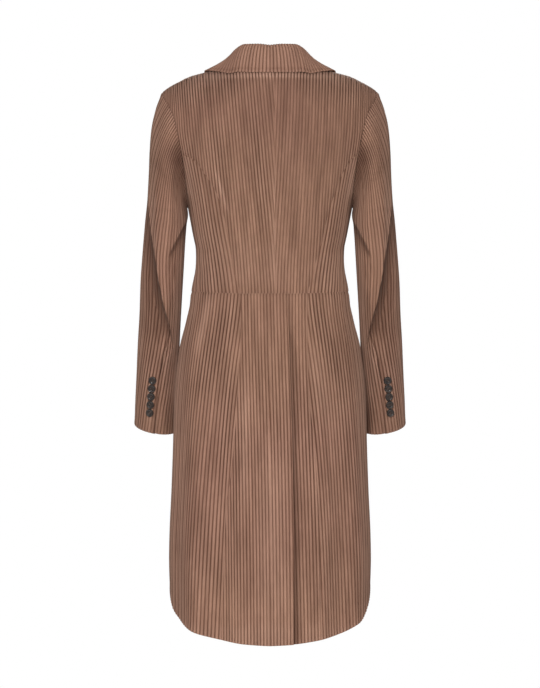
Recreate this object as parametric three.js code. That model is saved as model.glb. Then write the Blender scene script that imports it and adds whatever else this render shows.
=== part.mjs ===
import * as THREE from 'three';

// A corduroy suit jacket with a frock-cut back: bodice to the waist seam, skirt with a
// lapped back vent and cutaway fronts, turned-down collar, notched lapels and two-piece
// sleeves with five touching cuff buttons.  It keeps the hollow form it has when worn.
// Millimetres.  +Z up, the wearer faces -Y, +X is the wearer's left.
// The origin is midway between the shoulders, at the height they carry the jacket.

// ---- driving dimensions ------------------------------------------------------------
const WALL = 2.4;               // cloth thickness
const GAP = 0.4;                // between cloth pieces at a seam
const CROWN_BACK = 90;          // drop over which the back rounds up to the shoulder seam
const CROWN_FRONT = 112;        // the same on the chest
const UNDERARM_Z = -238;        // lowest point of the armhole
const SHOULDER_TIP_Z = -26;     // highest point of the armhole
const SHOULDER_TIP_X = 201.5;
const NECK_X = 75;              // half width of the neck opening at the shoulder seam
const NECK_BACK_Z = 20;         // top of the centre back
const NECK_SIDE_Z = 27;         // neck end of the shoulder seam
const SEAM_TOP_Z = -142.5, BACK_ROWS = 9; // top of the side body, and its rows
const WAIST_SIDE_Z = -394;      // waist seam at the sides
const WAIST_DIP = 5;            // the waist seam hangs this much lower at centre back
const CENTRE_BACK_X = -9;       // centre-back seam
const SIDE_SEAM = 97;           // degrees round from centre back
const UNDERLAP = 34;            // hidden width of the right skirt under the vent
const BUTTON_D = 14.4, BUTTON_T = 3.4, FRONT_BUTTON_D = 20;

// body sections: half width, depth behind and in front of the origin plane, roundness
const BODY = [
  { z: 60, half: 206, back: 62, front: 66, round: 2.4 },
  { z: 20, half: 206, back: 73, front: 80, round: 2.4 },
  { z: -26, half: 206, back: 96, front: 99, round: 2.4 },
  { z: -50, half: 204, back: 105, front: 108, round: 2.35 },
  { z: -80, half: 200, back: 112, front: 115, round: 2.3 },
  { z: -110, half: 193, back: 117, front: 120, round: 2.3 },
  { z: -140, half: 183, back: 119, front: 124, round: 2.3 },
  { z: -170, half: 171, back: 118, front: 126, round: 2.35 },
  { z: -200, half: 161, back: 116, front: 125, round: 2.4 },
  { z: -238, half: 152.4, back: 113, front: 122, round: 2.45 },
  { z: -257, half: 148.7, back: 109, front: 118, round: 2.5 },
  { z: -290, half: 142.5, back: 104, front: 112, round: 2.6 },
  { z: -315, half: 137.6, back: 100, front: 107, round: 2.65 },
  { z: -338, half: 136.6, back: 98, front: 104, round: 2.65 },
  { z: -357, half: 138.6, back: 99, front: 103, round: 2.65 },
  { z: -381, half: 143.6, back: 102, front: 104, round: 2.65 },
  { z: -398, half: 146.4, back: 105, front: 106, round: 2.65 },
  { z: -422, half: 148.8, back: 110, front: 108, round: 2.7 },
  { z: -438, half: 152.6, back: 114, front: 110, round: 2.7 },
  { z: -458, half: 157.2, back: 118, front: 112, round: 2.75 },
  { z: -477, half: 162.4, back: 121, front: 114, round: 2.75 },
  { z: -494, half: 166.6, back: 124, front: 115, round: 2.75 },
  { z: -524, half: 171, back: 127, front: 117, round: 2.75 },
  { z: -573, half: 176.5, back: 130, front: 119, round: 2.75 },
  { z: -614, half: 178.5, back: 132, front: 120, round: 2.75 },
  { z: -660, half: 179.2, back: 134, front: 121, round: 2.75 },
  { z: -760, half: 182.4, back: 137, front: 124, round: 2.75 },
  { z: -845, half: 186.2, back: 140, front: 126, round: 2.75 },
  { z: -888, half: 187, back: 141, front: 127, round: 2.75 },
  { z: -966, half: 185, back: 143, front: 128, round: 2.75 },
  { z: -1050, half: 184, back: 145, front: 129, round: 2.75 },
];
// height of the shoulder crest by distance from the centre
const CREST = [
  { x: 0, z: 80 }, { x: 60, z: 41 }, { x: 75, z: 27 }, { x: 96, z: 19 }, { x: 110, z: 15 },
  { x: 125, z: 11 }, { x: 142, z: 6.6 }, { x: 157, z: 0.8 }, { x: 165, z: -3.5 }, { x: 176, z: -9 },
  { x: 188, z: -16 }, { x: 197, z: -22.5 }, { x: 201.5, z: -26.3 }, { x: 215, z: -40 },
];
// armhole: half width of the body pieces by height, behind and in front
const ARMHOLE = [
  { z: -238, back: 152.1, front: 152.1 }, { z: -228, back: 153.6, front: 152.6 },
  { z: -200, back: 155.5, front: 152 }, { z: -170, back: 159.5, front: 153 },
  { z: -140, back: 163.5, front: 156 }, { z: -109, back: 170, front: 162 },
  { z: -72, back: 178.5, front: 174 }, { z: -52, back: 188, front: 185 },
  { z: -40, back: 194.5, front: 193 }, { z: -30, back: 199.5, front: 199.2 },
  { z: -26, back: 201.5, front: 201.5 }, { z: 60, back: 201.5, front: 201.5 },
];
// side-back seams of the bodice, x by height, on the left and right
const SIDE_BACK = [
  { z: -140, left: 163.3, right: -163.3 }, { z: -146, left: 153, right: -157 },
  { z: -157, left: 137, right: -147 }, { z: -185, left: 116.6, right: -131 },
  { z: -216, left: 98, right: -120 }, { z: -250, left: 87, right: -109 },
  { z: -300, left: 76, right: -96.5 }, { z: -355, left: 66.6, right: -81 },
  { z: -400, left: 54.5, right: -69.5 },
];
// the same seams carried down the skirt, and the folded edge of the vent
const SKIRT_SEAM = [
  { z: -394, left: 53.6, right: -70, vent: -27.8 }, { z: -466, left: 53.6, right: -69, vent: -33.3 },
  { z: -564, left: 58.5, right: -70.5, vent: -36 }, { z: -675, left: 66.6, right: -81, vent: -39.3 },
  { z: -745, left: 74.7, right: -85.5, vent: -40.5 }, { z: -803, left: 83, right: -88, vent: -41.2 },
  { z: -930, left: 88, right: -90.5, vent: -41.7 }, { z: -1050, left: 91, right: -92, vent: -41.8 },
];
// lower edge of the skirt by degrees round from centre back, up to the cutaway front
const HEM = [
  { deg: 0, z: -1046.5 }, { deg: 8.1, z: -1044 }, { deg: 17, z: -1039.2 }, { deg: 27.9, z: -1032.5 },
  { deg: 40.4, z: -1024 }, { deg: 52.3, z: -1012 }, { deg: 61.1, z: -1002 }, { deg: 69.9, z: -989 },
  { deg: 78.8, z: -971 }, { deg: 90, z: -946 }, { deg: 106.7, z: -900 }, { deg: 123.3, z: -836 },
  { deg: 139.6, z: -750 }, { deg: 155.1, z: -636 }, { deg: 166.7, z: -525 }, { deg: 174.4, z: -455 },
  { deg: 179.1, z: -424 }, { deg: 192, z: -420 },
];
// front opening edge: x of the roll line and of the lapel's outer edge by height
const OPENING = [
  { z: 27, edge: 75, lapel: 95 }, { z: 0, edge: 72, lapel: 104 }, { z: -30, edge: 67, lapel: 121 },
  { z: -60, edge: 61, lapel: 129 }, { z: -120, edge: 49, lapel: 114 }, { z: -200, edge: 31, lapel: 82 },
  { z: -300, edge: 5, lapel: 30 }, { z: -345, edge: -9, lapel: -1 }, { z: -372, edge: -17, lapel: -14 },
  { z: -400, edge: -20, lapel: -18 },
];
// soft vertical folds of the skirt: degrees round, outward throw at the hem, half width
const FOLDS = [
  { deg: 9.8, throw: 3.5, spread: 6 }, { deg: 21.9, throw: -4, spread: 7 }, { deg: 42.6, throw: 5, spread: 9 },
  { deg: 63.3, throw: -3.5, spread: 8 }, { deg: -21.9, throw: 4, spread: 7 }, { deg: -38.3, throw: -4.5, spread: 9 },
  { deg: -56.7, throw: 4, spread: 8 }, { deg: -72.2, throw: -2.5, spread: 7 }, { deg: 121.3, throw: 4, spread: 10 },
  { deg: -114.5, throw: 4, spread: 11 }, { deg: 146.9, throw: -4, spread: 9 }, { deg: -142.8, throw: -4, spread: 10 },
];
// sleeve sections from the shoulder to the cuff: outer and inner points, half depth,
// centre forward or back, drop of the back edge against the front, share of the armhole's form
const SLEEVE = [
  { ox: 211.5, oz: -54, ix: 157.4, iz: -239.5, deep: 72, cy: 0, tip: 0, arm: 0.8 },
  { ox: 218, oz: -92, ix: 157.2, iz: -242, deep: 74, cy: 0, tip: 0, arm: 0.5 },
  { ox: 221, oz: -134, ix: 156.6, iz: -249, deep: 74, cy: 0, tip: 0, arm: 0.25 },
  { ox: 222.4, oz: -178, ix: 156.2, iz: -260, deep: 72.5, cy: 0, tip: 0, arm: 0.08 },
  { ox: 224.6, oz: -222, ix: 156.2, iz: -276, deep: 70, cy: 0, tip: 0.02, arm: 0 },
  { ox: 229, oz: -264, ix: 157.6, iz: -299, deep: 67, cy: -2, tip: 0.05, arm: 0 },
  { ox: 233, oz: -310, ix: 159.4, iz: -330, deep: 63.5, cy: -6, tip: 0.1, arm: 0 },
  { ox: 236.8, oz: -358, ix: 161.6, iz: -367, deep: 60, cy: -13, tip: 0.16, arm: 0 },
  { ox: 240.4, oz: -406, ix: 164.2, iz: -408, deep: 57, cy: -23, tip: 0.21, arm: 0 },
  { ox: 243.8, oz: -454, ix: 166.8, iz: -452, deep: 55, cy: -35, tip: 0.24, arm: 0 },
  { ox: 246.7, oz: -502, ix: 169, iz: -498, deep: 53.5, cy: -48, tip: 0.26, arm: 0 },
  { ox: 249, oz: -550, ix: 171, iz: -548, deep: 52, cy: -61, tip: 0.27, arm: 0 },
  { ox: 251.4, oz: -598, ix: 172.5, iz: -600, deep: 51, cy: -74, tip: 0.27, arm: 0 },
  { ox: 253, oz: -640, ix: 174, iz: -652, deep: 50, cy: -85, tip: 0.27, arm: 0 },
];
// the sleeve's long folded ridge and its seams, degrees round from the outer edge by section
const SLEEVE_LINES = [
  { row: 0, hind: 112, fore: 236, ridge: 40, throw: 0 }, { row: 4, hind: 114, fore: 238, ridge: 48, throw: 1 },
  { row: 6, hind: 118, fore: 240, ridge: 62, throw: 3 }, { row: 8, hind: 122, fore: 242, ridge: 76, throw: 5 },
  { row: 10, hind: 119, fore: 243, ridge: 103, throw: 5 }, { row: 11, hind: 104, fore: 244, ridge: 112, throw: 1 },
  { row: 12, hind: 94, fore: 245, ridge: 112, throw: 0 }, { row: 14, hind: 88, fore: 246, ridge: 112, throw: 0 },
];
// collar, by part of the way round from centre back to its front end: the stand's seam,
// the fold along the top, and where the leaf's edge lies on the body
const COLLAR = [
  { part: 0, sx: 0, sy: 70, sz: 21.2, fx: 0, fy: 62, fz: 61, ex: 0, ey: 77.3 },
  { part: 1, sx: 22, sy: 66, sz: 22, fx: 22, fy: 59.5, fz: 63, ex: 30, ey: 71.9 },
  { part: 2, sx: 44, sy: 53, sz: 24, fx: 44, fy: 49, fz: 62.5, ex: 60, ey: 59 },
  { part: 3, sx: 62, sy: 34, sz: 26.6, fx: 60, fy: 31, fz: 54.5, ex: 90, ey: 36.5 },
  { part: 4, sx: 71.5, sy: 10, sz: 29, fx: 68, fy: 10, fz: 46, ex: 112, ey: 14 },
  { part: 5, sx: 73, sy: -14, sz: 27, fx: 71.5, fy: -12, fz: 38, ex: 121, ey: -14 },
  { part: 6, sx: 72, sy: -40, sz: 15, fx: 72.5, fy: -40, fz: 26, ex: 121, ey: -42 },
  { part: 7, sx: 70, sy: -64, sz: -2, fx: 71, fy: -68, fz: 8, ex: 113, ey: -64 },
];
// cuff buttons: heights of their centres
const CUFF_BUTTONS = [{ z: -559.5 }, { z: -574.6 }, { z: -589.7 }, { z: -604.8 }, { z: -619.9 }];

// ---- curves through the tables -------------------------------------------------------
// a smooth curve through one column, with no overshoot between its rows
function column(table, key, name) {
  const rows = [...table].sort((a, b) => a[key] - b[key]);
  const xs = rows.map(r => r[key]), ys = rows.map(r => r[name]), n = xs.length;
  const d = [], m = new Array(n).fill(0);
  for (let i = 0; i < n - 1; i++) d.push((ys[i + 1] - ys[i]) / (xs[i + 1] - xs[i]));
  for (let i = 1; i < n - 1; i++) m[i] = d[i - 1] * d[i] <= 0 ? 0 : 2 * d[i - 1] * d[i] / (d[i - 1] + d[i]);
  m[0] = d[0]; m[n - 1] = d[n - 2];
  return s => {
    if (s <= xs[0]) return ys[0];
    if (s >= xs[n - 1]) return ys[n - 1];
    let i = 0;
    while (s > xs[i + 1]) i++;
    const h = xs[i + 1] - xs[i], t = (s - xs[i]) / h, t2 = t * t, t3 = t2 * t;
    return ys[i] * (2 * t3 - 3 * t2 + 1) + m[i] * h * (t3 - 2 * t2 + t) + ys[i + 1] * (3 * t2 - 2 * t3) + m[i + 1] * h * (t3 - t2);
  };
}
const half = column(BODY, 'z', 'half'), deepBack = column(BODY, 'z', 'back'), deepFront = column(BODY, 'z', 'front');
const round = column(BODY, 'z', 'round'), crest = column(CREST, 'x', 'z');
const armBack = column(ARMHOLE, 'z', 'back'), armFront = column(ARMHOLE, 'z', 'front');
const hemAt = column(HEM, 'deg', 'z');
const sideBack = { 1: column(SIDE_BACK, 'z', 'left'), '-1': column(SIDE_BACK, 'z', 'right') };
const skirtSeam = { 1: column(SKIRT_SEAM, 'z', 'left'), '-1': column(SKIRT_SEAM, 'z', 'right') };
const ventEdge = column(SKIRT_SEAM, 'z', 'vent');
const rollLine = column(OPENING, 'z', 'edge'), lapelLine = column(OPENING, 'z', 'lapel');
const RAD = Math.PI / 180;
const clamp = (v, a, b) => Math.min(b, Math.max(a, v));
const mix = (a, b, t) => a + (b - a) * t;
const ease = (v, a, b) => { const t = clamp((v - a) / (b - a), 0, 1); return t * t * (3 - 2 * t); };
const bell = v => Math.exp(-v * v);

// degrees round from centre back of a point at x on the section at height z, on the back
const degAt = (x, z) => Math.sign(x) * Math.asin(Math.pow(clamp(Math.abs(x) / half(z), 0, 1), round(z) / 2)) / RAD;
// the same on the front
const degFront = (x, side, z) => x * side >= 0 ? 180 - Math.abs(degAt(x, z)) : 180 + Math.abs(degAt(x, z));
const crownOf = (x, z, front) => {
  const reach = front ? CROWN_FRONT : CROWN_BACK, t = clamp((crest(Math.abs(x)) - z) / reach, 0, 1);
  return Math.sqrt(Math.max(0, 1 - (1 - t) * (1 - t)));
};
const skirtFold = (deg, z) => {
  const grow = ease(-z, 420, 900);
  return FOLDS.reduce((sum, f) => sum + f.throw * grow * bell((deg - f.deg) / f.spread), 0);
};
// a point of the body's outer form
function body(deg, z, out = 0) {
  const s = Math.sin(deg * RAD), c = Math.cos(deg * RAD), p = 2 / round(z), front = c < 0;
  let x = half(z) * Math.sign(s) * Math.pow(Math.abs(s), p);
  const k = crownOf(x, z, front);
  let y = (front ? -1 : 1) * (0.3 + (front ? deepFront(z) : deepBack(z)) * Math.pow(Math.abs(c), p) * (z > UNDERARM_Z ? k : 1));
  const fold = z < -420 ? skirtFold(deg, z) : 0;
  const r = Math.hypot(x, y) || 1, push = out + fold;
  return new THREE.Vector3(x + push * x / r, y + push * y / r, z);
}
// the same point moved out square to the surface, with the surface's direction kept on it
function bodyOut(deg, z, out = 0, lift = 0) {
  const p = body(deg, z, lift), a = body(deg + 0.4, z, lift).sub(body(deg - 0.4, z, lift)), b = body(deg, z + 0.8, lift).sub(body(deg, z - 0.8, lift));
  p.n = new THREE.Vector3().crossVectors(b, a).normalize();
  if (p.n.x * p.x + p.n.y * p.y < 0 && Math.abs(p.n.z) < 0.9) p.n.negate();
  if (p.n.z < -0.9) p.n.negate();
  if (crest(Math.abs(p.x)) - z < 0.4) p.n.setY(0).normalize();   // square to the shoulder seam
  return p.addScaledVector(p.n, out);
}
const bodyAtX = (x, z, front, side = 1) => body(front ? side * degFront(x, side, z) : degAt(x, z), z);

// ---- closed cloth walls --------------------------------------------------------------
// grid of points on the outer face -> closed wall, thickness inward
function normals(P, wrap, flip) {
  const nu = P.length, nv = P[0].length, N = [];
  for (let i = 0; i < nu; i++) {
    N.push([]);
    for (let j = 0; j < nv; j++) {
      const a = P[wrap ? (i + nu - 1) % nu : Math.max(i - 1, 0)][j], b = P[wrap ? (i + 1) % nu : Math.min(i + 1, nu - 1)][j];
      const c = P[i][Math.max(j - 1, 0)], d = P[i][Math.min(j + 1, nv - 1)];
      N[i].push(P[i][j].n ? P[i][j].n.clone().multiplyScalar(flip) : new THREE.Vector3().crossVectors(b.clone().sub(a), d.clone().sub(c)).normalize());
    }
  }
  return N;
}
function wall(P, flip = 1, thick = WALL, wrap = false) {
  const nu = P.length, nv = P[0].length, N = normals(P, wrap, flip), pos = [], idx = [];
  const at = (k, i, j) => (k * nu + (i % nu)) * nv + j;
  for (let k = 0; k < 2; k++) for (let i = 0; i < nu; i++) for (let j = 0; j < nv; j++) {
    const p = P[i][j].clone().addScaledVector(N[i][j], -k * thick * flip);
    pos.push(p.x, p.y, p.z);
  }
  const quad = (a, b, c, d) => { idx.push(a, b, c, a, c, d); };
  const last = wrap ? nu : nu - 1;
  for (let i = 0; i < last; i++) for (let j = 0; j < nv - 1; j++) {
    quad(at(0, i, j), at(0, i + 1, j), at(0, i + 1, j + 1), at(0, i, j + 1));
    quad(at(1, i, j), at(1, i, j + 1), at(1, i + 1, j + 1), at(1, i + 1, j));
  }
  for (let i = 0; i < last; i++) {
    quad(at(0, i, 0), at(1, i, 0), at(1, i + 1, 0), at(0, i + 1, 0));
    quad(at(0, i, nv - 1), at(0, i + 1, nv - 1), at(1, i + 1, nv - 1), at(1, i, nv - 1));
  }
  if (!wrap) for (let j = 0; j < nv - 1; j++) {
    quad(at(0, 0, j), at(0, 0, j + 1), at(1, 0, j + 1), at(1, 0, j));
    quad(at(0, nu - 1, j), at(1, nu - 1, j), at(1, nu - 1, j + 1), at(0, nu - 1, j + 1));
  }
  let vol = 0;
  const v = i => new THREE.Vector3(pos[3 * i], pos[3 * i + 1], pos[3 * i + 2]);
  for (let t = 0; t < idx.length; t += 3) vol += v(idx[t]).dot(v(idx[t + 1]).cross(v(idx[t + 2]))) / 6;
  if (vol < 0) for (let t = 0; t < idx.length; t += 3) [idx[t + 1], idx[t + 2]] = [idx[t + 2], idx[t + 1]];
  const g = new THREE.BufferGeometry();
  g.setAttribute('position', new THREE.Float32BufferAttribute(pos, 3));
  g.setIndex(idx);
  g.computeVertexNormals();
  return g;
}
const steps = (n, f = t => t) => Array.from({ length: n + 1 }, (_, i) => f(i / n));
// evenly spaced, but closer together towards 1
const closing = t => 1 - Math.pow(1 - t, 2);

// ---- the garment ---------------------------------------------------------------------
const CLOTH = { color: 0x8a6452, roughness: 0.92, metalness: 0 };
const HORN = { color: 0x3d322e, roughness: 0.35, metalness: 0 };
const jacket = new THREE.Group();
jacket.name = 'jacket';
const add = (name, geometry, look) => {
  const m = new THREE.Mesh(geometry, new THREE.MeshStandardMaterial(look));
  m.name = name;
  jacket.add(m);
  return m;
};
const WAIST_GAP = 0.45;         // each side of the waist seam
const gapDeg = (z, mm = GAP / 2) => mm / half(z) / RAD;
const waistZ = deg => WAIST_SIDE_Z - WAIST_DIP * Math.pow(Math.max(0, Math.cos(deg * RAD)), 2);
const word = { 1: 'left', '-1': 'right' };

// height at which a line of a panel meets the shoulder seam or the back of the neck
function topOf(degOf, back) {
  let z = 0;
  for (let k = 0; k < 12; k++) {
    const x = Math.abs(body(degOf(z), z).x);
    z = mix(z, back && x < NECK_X ? NECK_BACK_Z + (NECK_SIDE_Z - NECK_BACK_Z) * Math.pow(x / NECK_X, 2) : crest(x), 0.7);
  }
  return z;
}

for (const side of [1, -1]) {
  const seamDeg = Math.abs(degAt(sideBack[side](-396), -396));
  // bodice back: centre-back seam to the armhole and the side-back seam
  const backEdge = z => (z > -140 ? degAt(side * armBack(z), z) : degAt(sideBack[side](z), z)) - side * gapDeg(z) * 1.6;
  const P = steps(8).map(f => steps(BACK_ROWS + 7).map((v, j) => {
    const top = topOf(z => mix(degAt(CENTRE_BACK_X, z), degAt(side * armBack(z), z), f), true);
    const low = waistZ(mix(0, seamDeg, f)) + WAIST_GAP;
    const z = j <= BACK_ROWS ? mix(low, SEAM_TOP_Z, j / BACK_ROWS) : mix(SEAM_TOP_Z, top, closing((j - BACK_ROWS) / 7));
    return bodyOut(mix(degAt(CENTRE_BACK_X, z) + side * gapDeg(z), backEdge(z), f), z);
  }));
  add(`back_${word[side]}`, wall(P, -side), CLOTH);

  // side body: from the side-back seam to the side seam, its top edge is the low armhole
  const S = steps(6).map(f => steps(BACK_ROWS).map(v => {
    const z = mix(waistZ(mix(seamDeg, SIDE_SEAM, f)) + WAIST_GAP, SEAM_TOP_Z, v);
    const a = degAt(sideBack[side](z), z) + side * gapDeg(z) * 1.6;
    const b = z > UNDERARM_Z ? Math.min(degAt(armBack(z), z) - gapDeg(z), SIDE_SEAM) : SIDE_SEAM - gapDeg(z);
    return bodyOut(mix(a, side * b, f), z);
  }));
  add(`side_${word[side]}`, wall(S, -side), CLOTH);

  // bodice front: side seam and armhole to the opening edge; the left one laps over the right
  const lap = (deg) => side > 0 ? 3.6 * ease(Math.abs(deg), 158, 170) : 0;
  const F = steps(9).map(f => steps(15, closing).map(v => {
    const across = z => {
      const a = z > UNDERARM_Z ? Math.max(180 - Math.abs(degAt(armFront(z), z)) + gapDeg(z), SIDE_SEAM) : SIDE_SEAM + gapDeg(z);
      return mix(a, degFront(side * rollLine(z), side, z), f);
    };
    const z = mix(WAIST_SIDE_Z + WAIST_GAP, topOf(across, false), v), deg = across(z);
    return bodyOut(side * deg, z, 0, lap(deg));
  }));
  add(`front_${word[side]}`, wall(F, -side), CLOTH);

  // lapel: the front's own points beside the roll line, moved out, ending in a notch under the collar
  const L = steps(4).map(f => steps(11).map(v => {
    const z = mix(-305, mix(-21, -47, f), v);
    const x = mix(rollLine(z) + 1.2, lapelLine(z), f), deg = degFront(side * x, side, z);
    const belly = 3.2 * Math.sin(Math.PI * Math.min(1, f * 1.1)) * ease(z, -300, -200);
    return bodyOut(side * deg, z, WALL + GAP + 1.3 + belly * 0.6 + 1.6 * (1 - f) * ease(z, -300, -200), lap(deg));
  }));
  add(`lapel_${word[side]}`, wall(L, -side), CLOTH);

  // skirt back: the left piece laps past the centre to the vent's folded edge, the right lies under it
  const K = steps(7).map(f => steps(12).map(v => {
    const deg0 = side > 0 ? -14 : -4;
    const z = mix(hemAt(Math.abs(mix(deg0, side * 23.5, f))), waistZ(mix(deg0, seamDeg, f)) - WAIST_GAP, v);
    const inner = side > 0 ? ventEdge(z) : ventEdge(z) + UNDERLAP;
    const x = mix(inner, skirtSeam[side](z) - side * GAP / 2 * 1.6, f), open = ease(-z, 400, 560);
    const out = side > 0 ? (3.2 + 3.4 * open) * ease(-x, -40, -8) : -5.5 * open * bell((x + 38) / 16);
    return bodyOut(degAt(x, z), z, 0, out);
  }));
  add(`skirt_back_${word[side]}`, wall(K, -side), CLOTH);

  // skirt side and front, round to the cutaway edge
  const T = steps(15).map(f => steps(12).map(v => {
    const far = side > 0 ? 185.4 : 182.9;
    const z = mix(hemAt(Math.min(mix(23.5, far, f), 178)), waistZ(mix(seamDeg, far, f)) - WAIST_GAP, v);
    const a = Math.abs(degAt(skirtSeam[side](z) + side * GAP / 2 * 1.6, z)), deg = mix(a, far, f);
    return bodyOut(side * deg, z, 0, lap(deg));
  }));
  add(`skirt_front_${word[side]}`, wall(T, -side), CLOTH);
}

// collar: from the leaf edge up over the fold and down the stand, all round to both ends
{
  const col = name => column(COLLAR, 'part', name);
  const c = Object.fromEntries(['sx', 'sy', 'sz', 'fx', 'fy', 'fz', 'ex', 'ey'].map(k => [k, col(k)]));
  // height at which the body's form is y behind or in front of the shoulder line
  const heightAt = (x, y) => {
    let lo = crest(x) - 160, hi = crest(x);
    for (let k = 0; k < 30; k++) { const m = (lo + hi) / 2; Math.abs(bodyAtX(x, m, y < 0).y) > Math.abs(y) ? lo = m : hi = m; }
    return lo;
  };
  const P = steps(24).map(f => {
    const g = mix(-7, 7, f), part = Math.abs(g), side = g < 0 ? -1 : 1;
    const s = new THREE.Vector3(c.sx(part), c.sy(part), c.sz(part));
    const top = new THREE.Vector3(c.fx(part), c.fy(part), c.fz(part));
    const e = new THREE.Vector3(c.ex(part), c.ey(part), heightAt(c.ex(part), c.ey(part)));
    // the leaf lies just clear of the body
    const on = bodyOut(e.y < 0 ? degFront(e.x, 1, e.z) : degAt(e.x, e.z), e.z);
    e.addScaledVector(on.n, WALL + 3.4);
    // behind the neck the leaf stands out; over the shoulders it lies flatter
    const flat = ease(part, 1.6, 3.6), k = mix(0.5, 0.2, flat);
    const ctrl = new THREE.Vector3(mix(top.x, e.x, k), mix(top.y, e.y, k), mix(top.z, e.z, 0.3 * flat)).addScaledVector(new THREE.Vector3(e.x - top.x, e.y - top.y, 0).normalize(), 1);
    const leaf = t => top.clone().multiplyScalar((1 - t) * (1 - t)).addScaledVector(ctrl, 2 * t * (1 - t)).addScaledVector(e, t * t);
    const inward = new THREE.Vector3(-top.x, -top.y, 0).normalize();
    const rows = [0, 0.2, 0.4, 0.6, 0.8, 0.93].map(t => leaf(1 - t));
    rows.push(top.clone().addScaledVector(inward, 0.6));
    rows.push(top.clone().addScaledVector(inward, 5).add(new THREE.Vector3(0, 0, -2.6)));
    rows.push(top.clone().lerp(s, 0.35).addScaledVector(inward, 6));
    rows.push(s.clone().addScaledVector(inward, 4.4).add(new THREE.Vector3(0, 0, 2)));
    return rows.map(p => new THREE.Vector3(p.x * side, p.y, p.z));
  });
  add('collar', wall(P, -1), CLOTH);
}

// sleeves: sections lofted from the armhole to the cuff, split at the hind and fore seams
const armLoop = (deg, side) => {
  const z = mix(UNDERARM_Z, SHOULDER_TIP_Z, (1 + Math.cos(deg * RAD)) / 2), front = Math.sin(deg * RAD) < 0;
  const x = (front ? armFront(z) : armBack(z));
  const p = bodyAtX(Math.min(x, half(z) - 0.01), z, front);
  const edge = clamp(Math.abs(Math.sin(deg * RAD)) * 3, 0, 1);
  return new THREE.Vector3(side * (x + 1.6), p.y * edge, z);
};
const LAST = SLEEVE.length;
const line = Object.fromEntries(['hind', 'fore', 'ridge', 'throw'].map(k => [k, column(SLEEVE_LINES, 'row', k)]));
const rowsOf = SLEEVE.map((r, i) => ({ ...r, row: i + 1 }));
const arm = Object.fromEntries(['ox', 'oz', 'ix', 'iz', 'deep', 'cy', 'tip', 'arm'].map(k => [k, column(
  [{ row: 0, ox: 203.1, oz: SHOULDER_TIP_Z, ix: 153.7, iz: UNDERARM_Z, deep: 66, cy: 0, tip: 0, arm: 1 }, ...rowsOf], 'row', k)]));
function sleeve(deg, row, side) {
  const c = Math.cos(deg * RAD), s = Math.sin(deg * RAD), squarish = 0.94;
  const cc = Math.sign(c) * Math.pow(Math.abs(c), squarish), ss = Math.sign(s) * Math.pow(Math.abs(s), squarish);
  const ring = (r) => new THREE.Vector3(
    mix(arm.ix(r), arm.ox(r), (1 + cc) / 2), arm.cy(r) + arm.deep(r) * ss,
    mix(arm.iz(r), arm.oz(r), (1 + cc) / 2) - arm.tip(r) * arm.deep(r) * ss);
  const p = ring(row), w = arm.arm(row);
  if (w > 0) {
    const a = armLoop(deg, 1), base = ring(0);
    p.addScaledVector(a.sub(base), w);
  }
  // the long fold down the back of the sleeve
  const mid = new THREE.Vector3((arm.ix(row) + arm.ox(row)) / 2, arm.cy(row), p.z), t = line.throw(row);
  const out = p.clone().sub(mid).setZ(0).normalize();
  p.addScaledVector(out, t * 0.6 * bell((deg - line.ridge(row) - 6) / 12) - t * bell((deg - line.ridge(row) + 14) / 11));
  p.x *= side;
  return p;
}
// the same point with the direction square to the sleeve kept on it
function sleevePoint(deg, row, side) {
  const p = sleeve(deg, row, side), a = sleeve(deg + 1, row, side).sub(sleeve(deg - 1, row, side));
  const b = sleeve(deg, Math.min(row + 0.1, LAST), side).sub(sleeve(deg, Math.max(row - 0.1, 0), side));
  p.n = new THREE.Vector3().crossVectors(a, b).multiplyScalar(-side).normalize();
  return p;
}
for (const side of [1, -1]) {
  const rows = steps(LAST, t => LAST * t);
  const grid = (from, to, n) => steps(n).map(f => rows.map(r => sleevePoint(mix(from(r), to(r), f), r, side)));
  const g = r => (GAP / 2 + 0.45 * bell(r / 2.5)) / 45 / RAD;
  const top = grid(r => line.fore(r) - 360 + g(r), r => line.hind(r) - g(r), 14);
  const under = grid(r => line.hind(r) + g(r), r => line.fore(r) - g(r), 7);
  add(`top_sleeve_${word[side]}`, wall(top, -side), CLOTH);
  add(`under_sleeve_${word[side]}`, wall(under, -side), CLOTH);
}

// ---- buttons -------------------------------------------------------------------------
// a turned disc with a raised rim and a shallow dished face, its back flat
function buttonShape(d, t) {
  const r = d / 2;
  const pts = [[0, 0], [r * 0.86, 0], [r, t * 0.35], [r * 0.95, t], [r * 0.74, t], [r * 0.62, t * 0.7], [0, t * 0.66]];
  const g = new THREE.LatheGeometry(pts.map(([x, y]) => new THREE.Vector2(x, y)), 16);
  g.rotateX(Math.PI / 2);
  return g;
}
const standOn = (mesh, p, n, lift) => {
  mesh.quaternion.setFromUnitVectors(new THREE.Vector3(0, 0, 1), n);
  mesh.position.copy(p).addScaledVector(n, lift);
};
for (const side of [1, -1]) CUFF_BUTTONS.forEach((b, i) => {
  // the row of the sleeve at which its back reaches the button's height
  let lo = 6, hi = LAST;
  for (let k = 0; k < 30; k++) { const m = (lo + hi) / 2; sleeve(line.hind(m) - 12, m, side).z > b.z ? lo = m : hi = m; }
  const p = sleevePoint(line.hind(lo) - 11, lo, side);
  const m = add(`cuff_button_${word[side]}_${i + 1}`, buttonShape(BUTTON_D, BUTTON_T), HORN);
  standOn(m, p, p.n, 1.0);
});
{
  const z = -384, p = body(degFront(0, 1, z), z, 3.4), m = add('front_button', buttonShape(FRONT_BUTTON_D, 4.2), HORN);
  standOn(m, p, new THREE.Vector3(0, -1, 0), 1.6);
}

export default jacket;
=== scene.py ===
import json
import math

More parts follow.
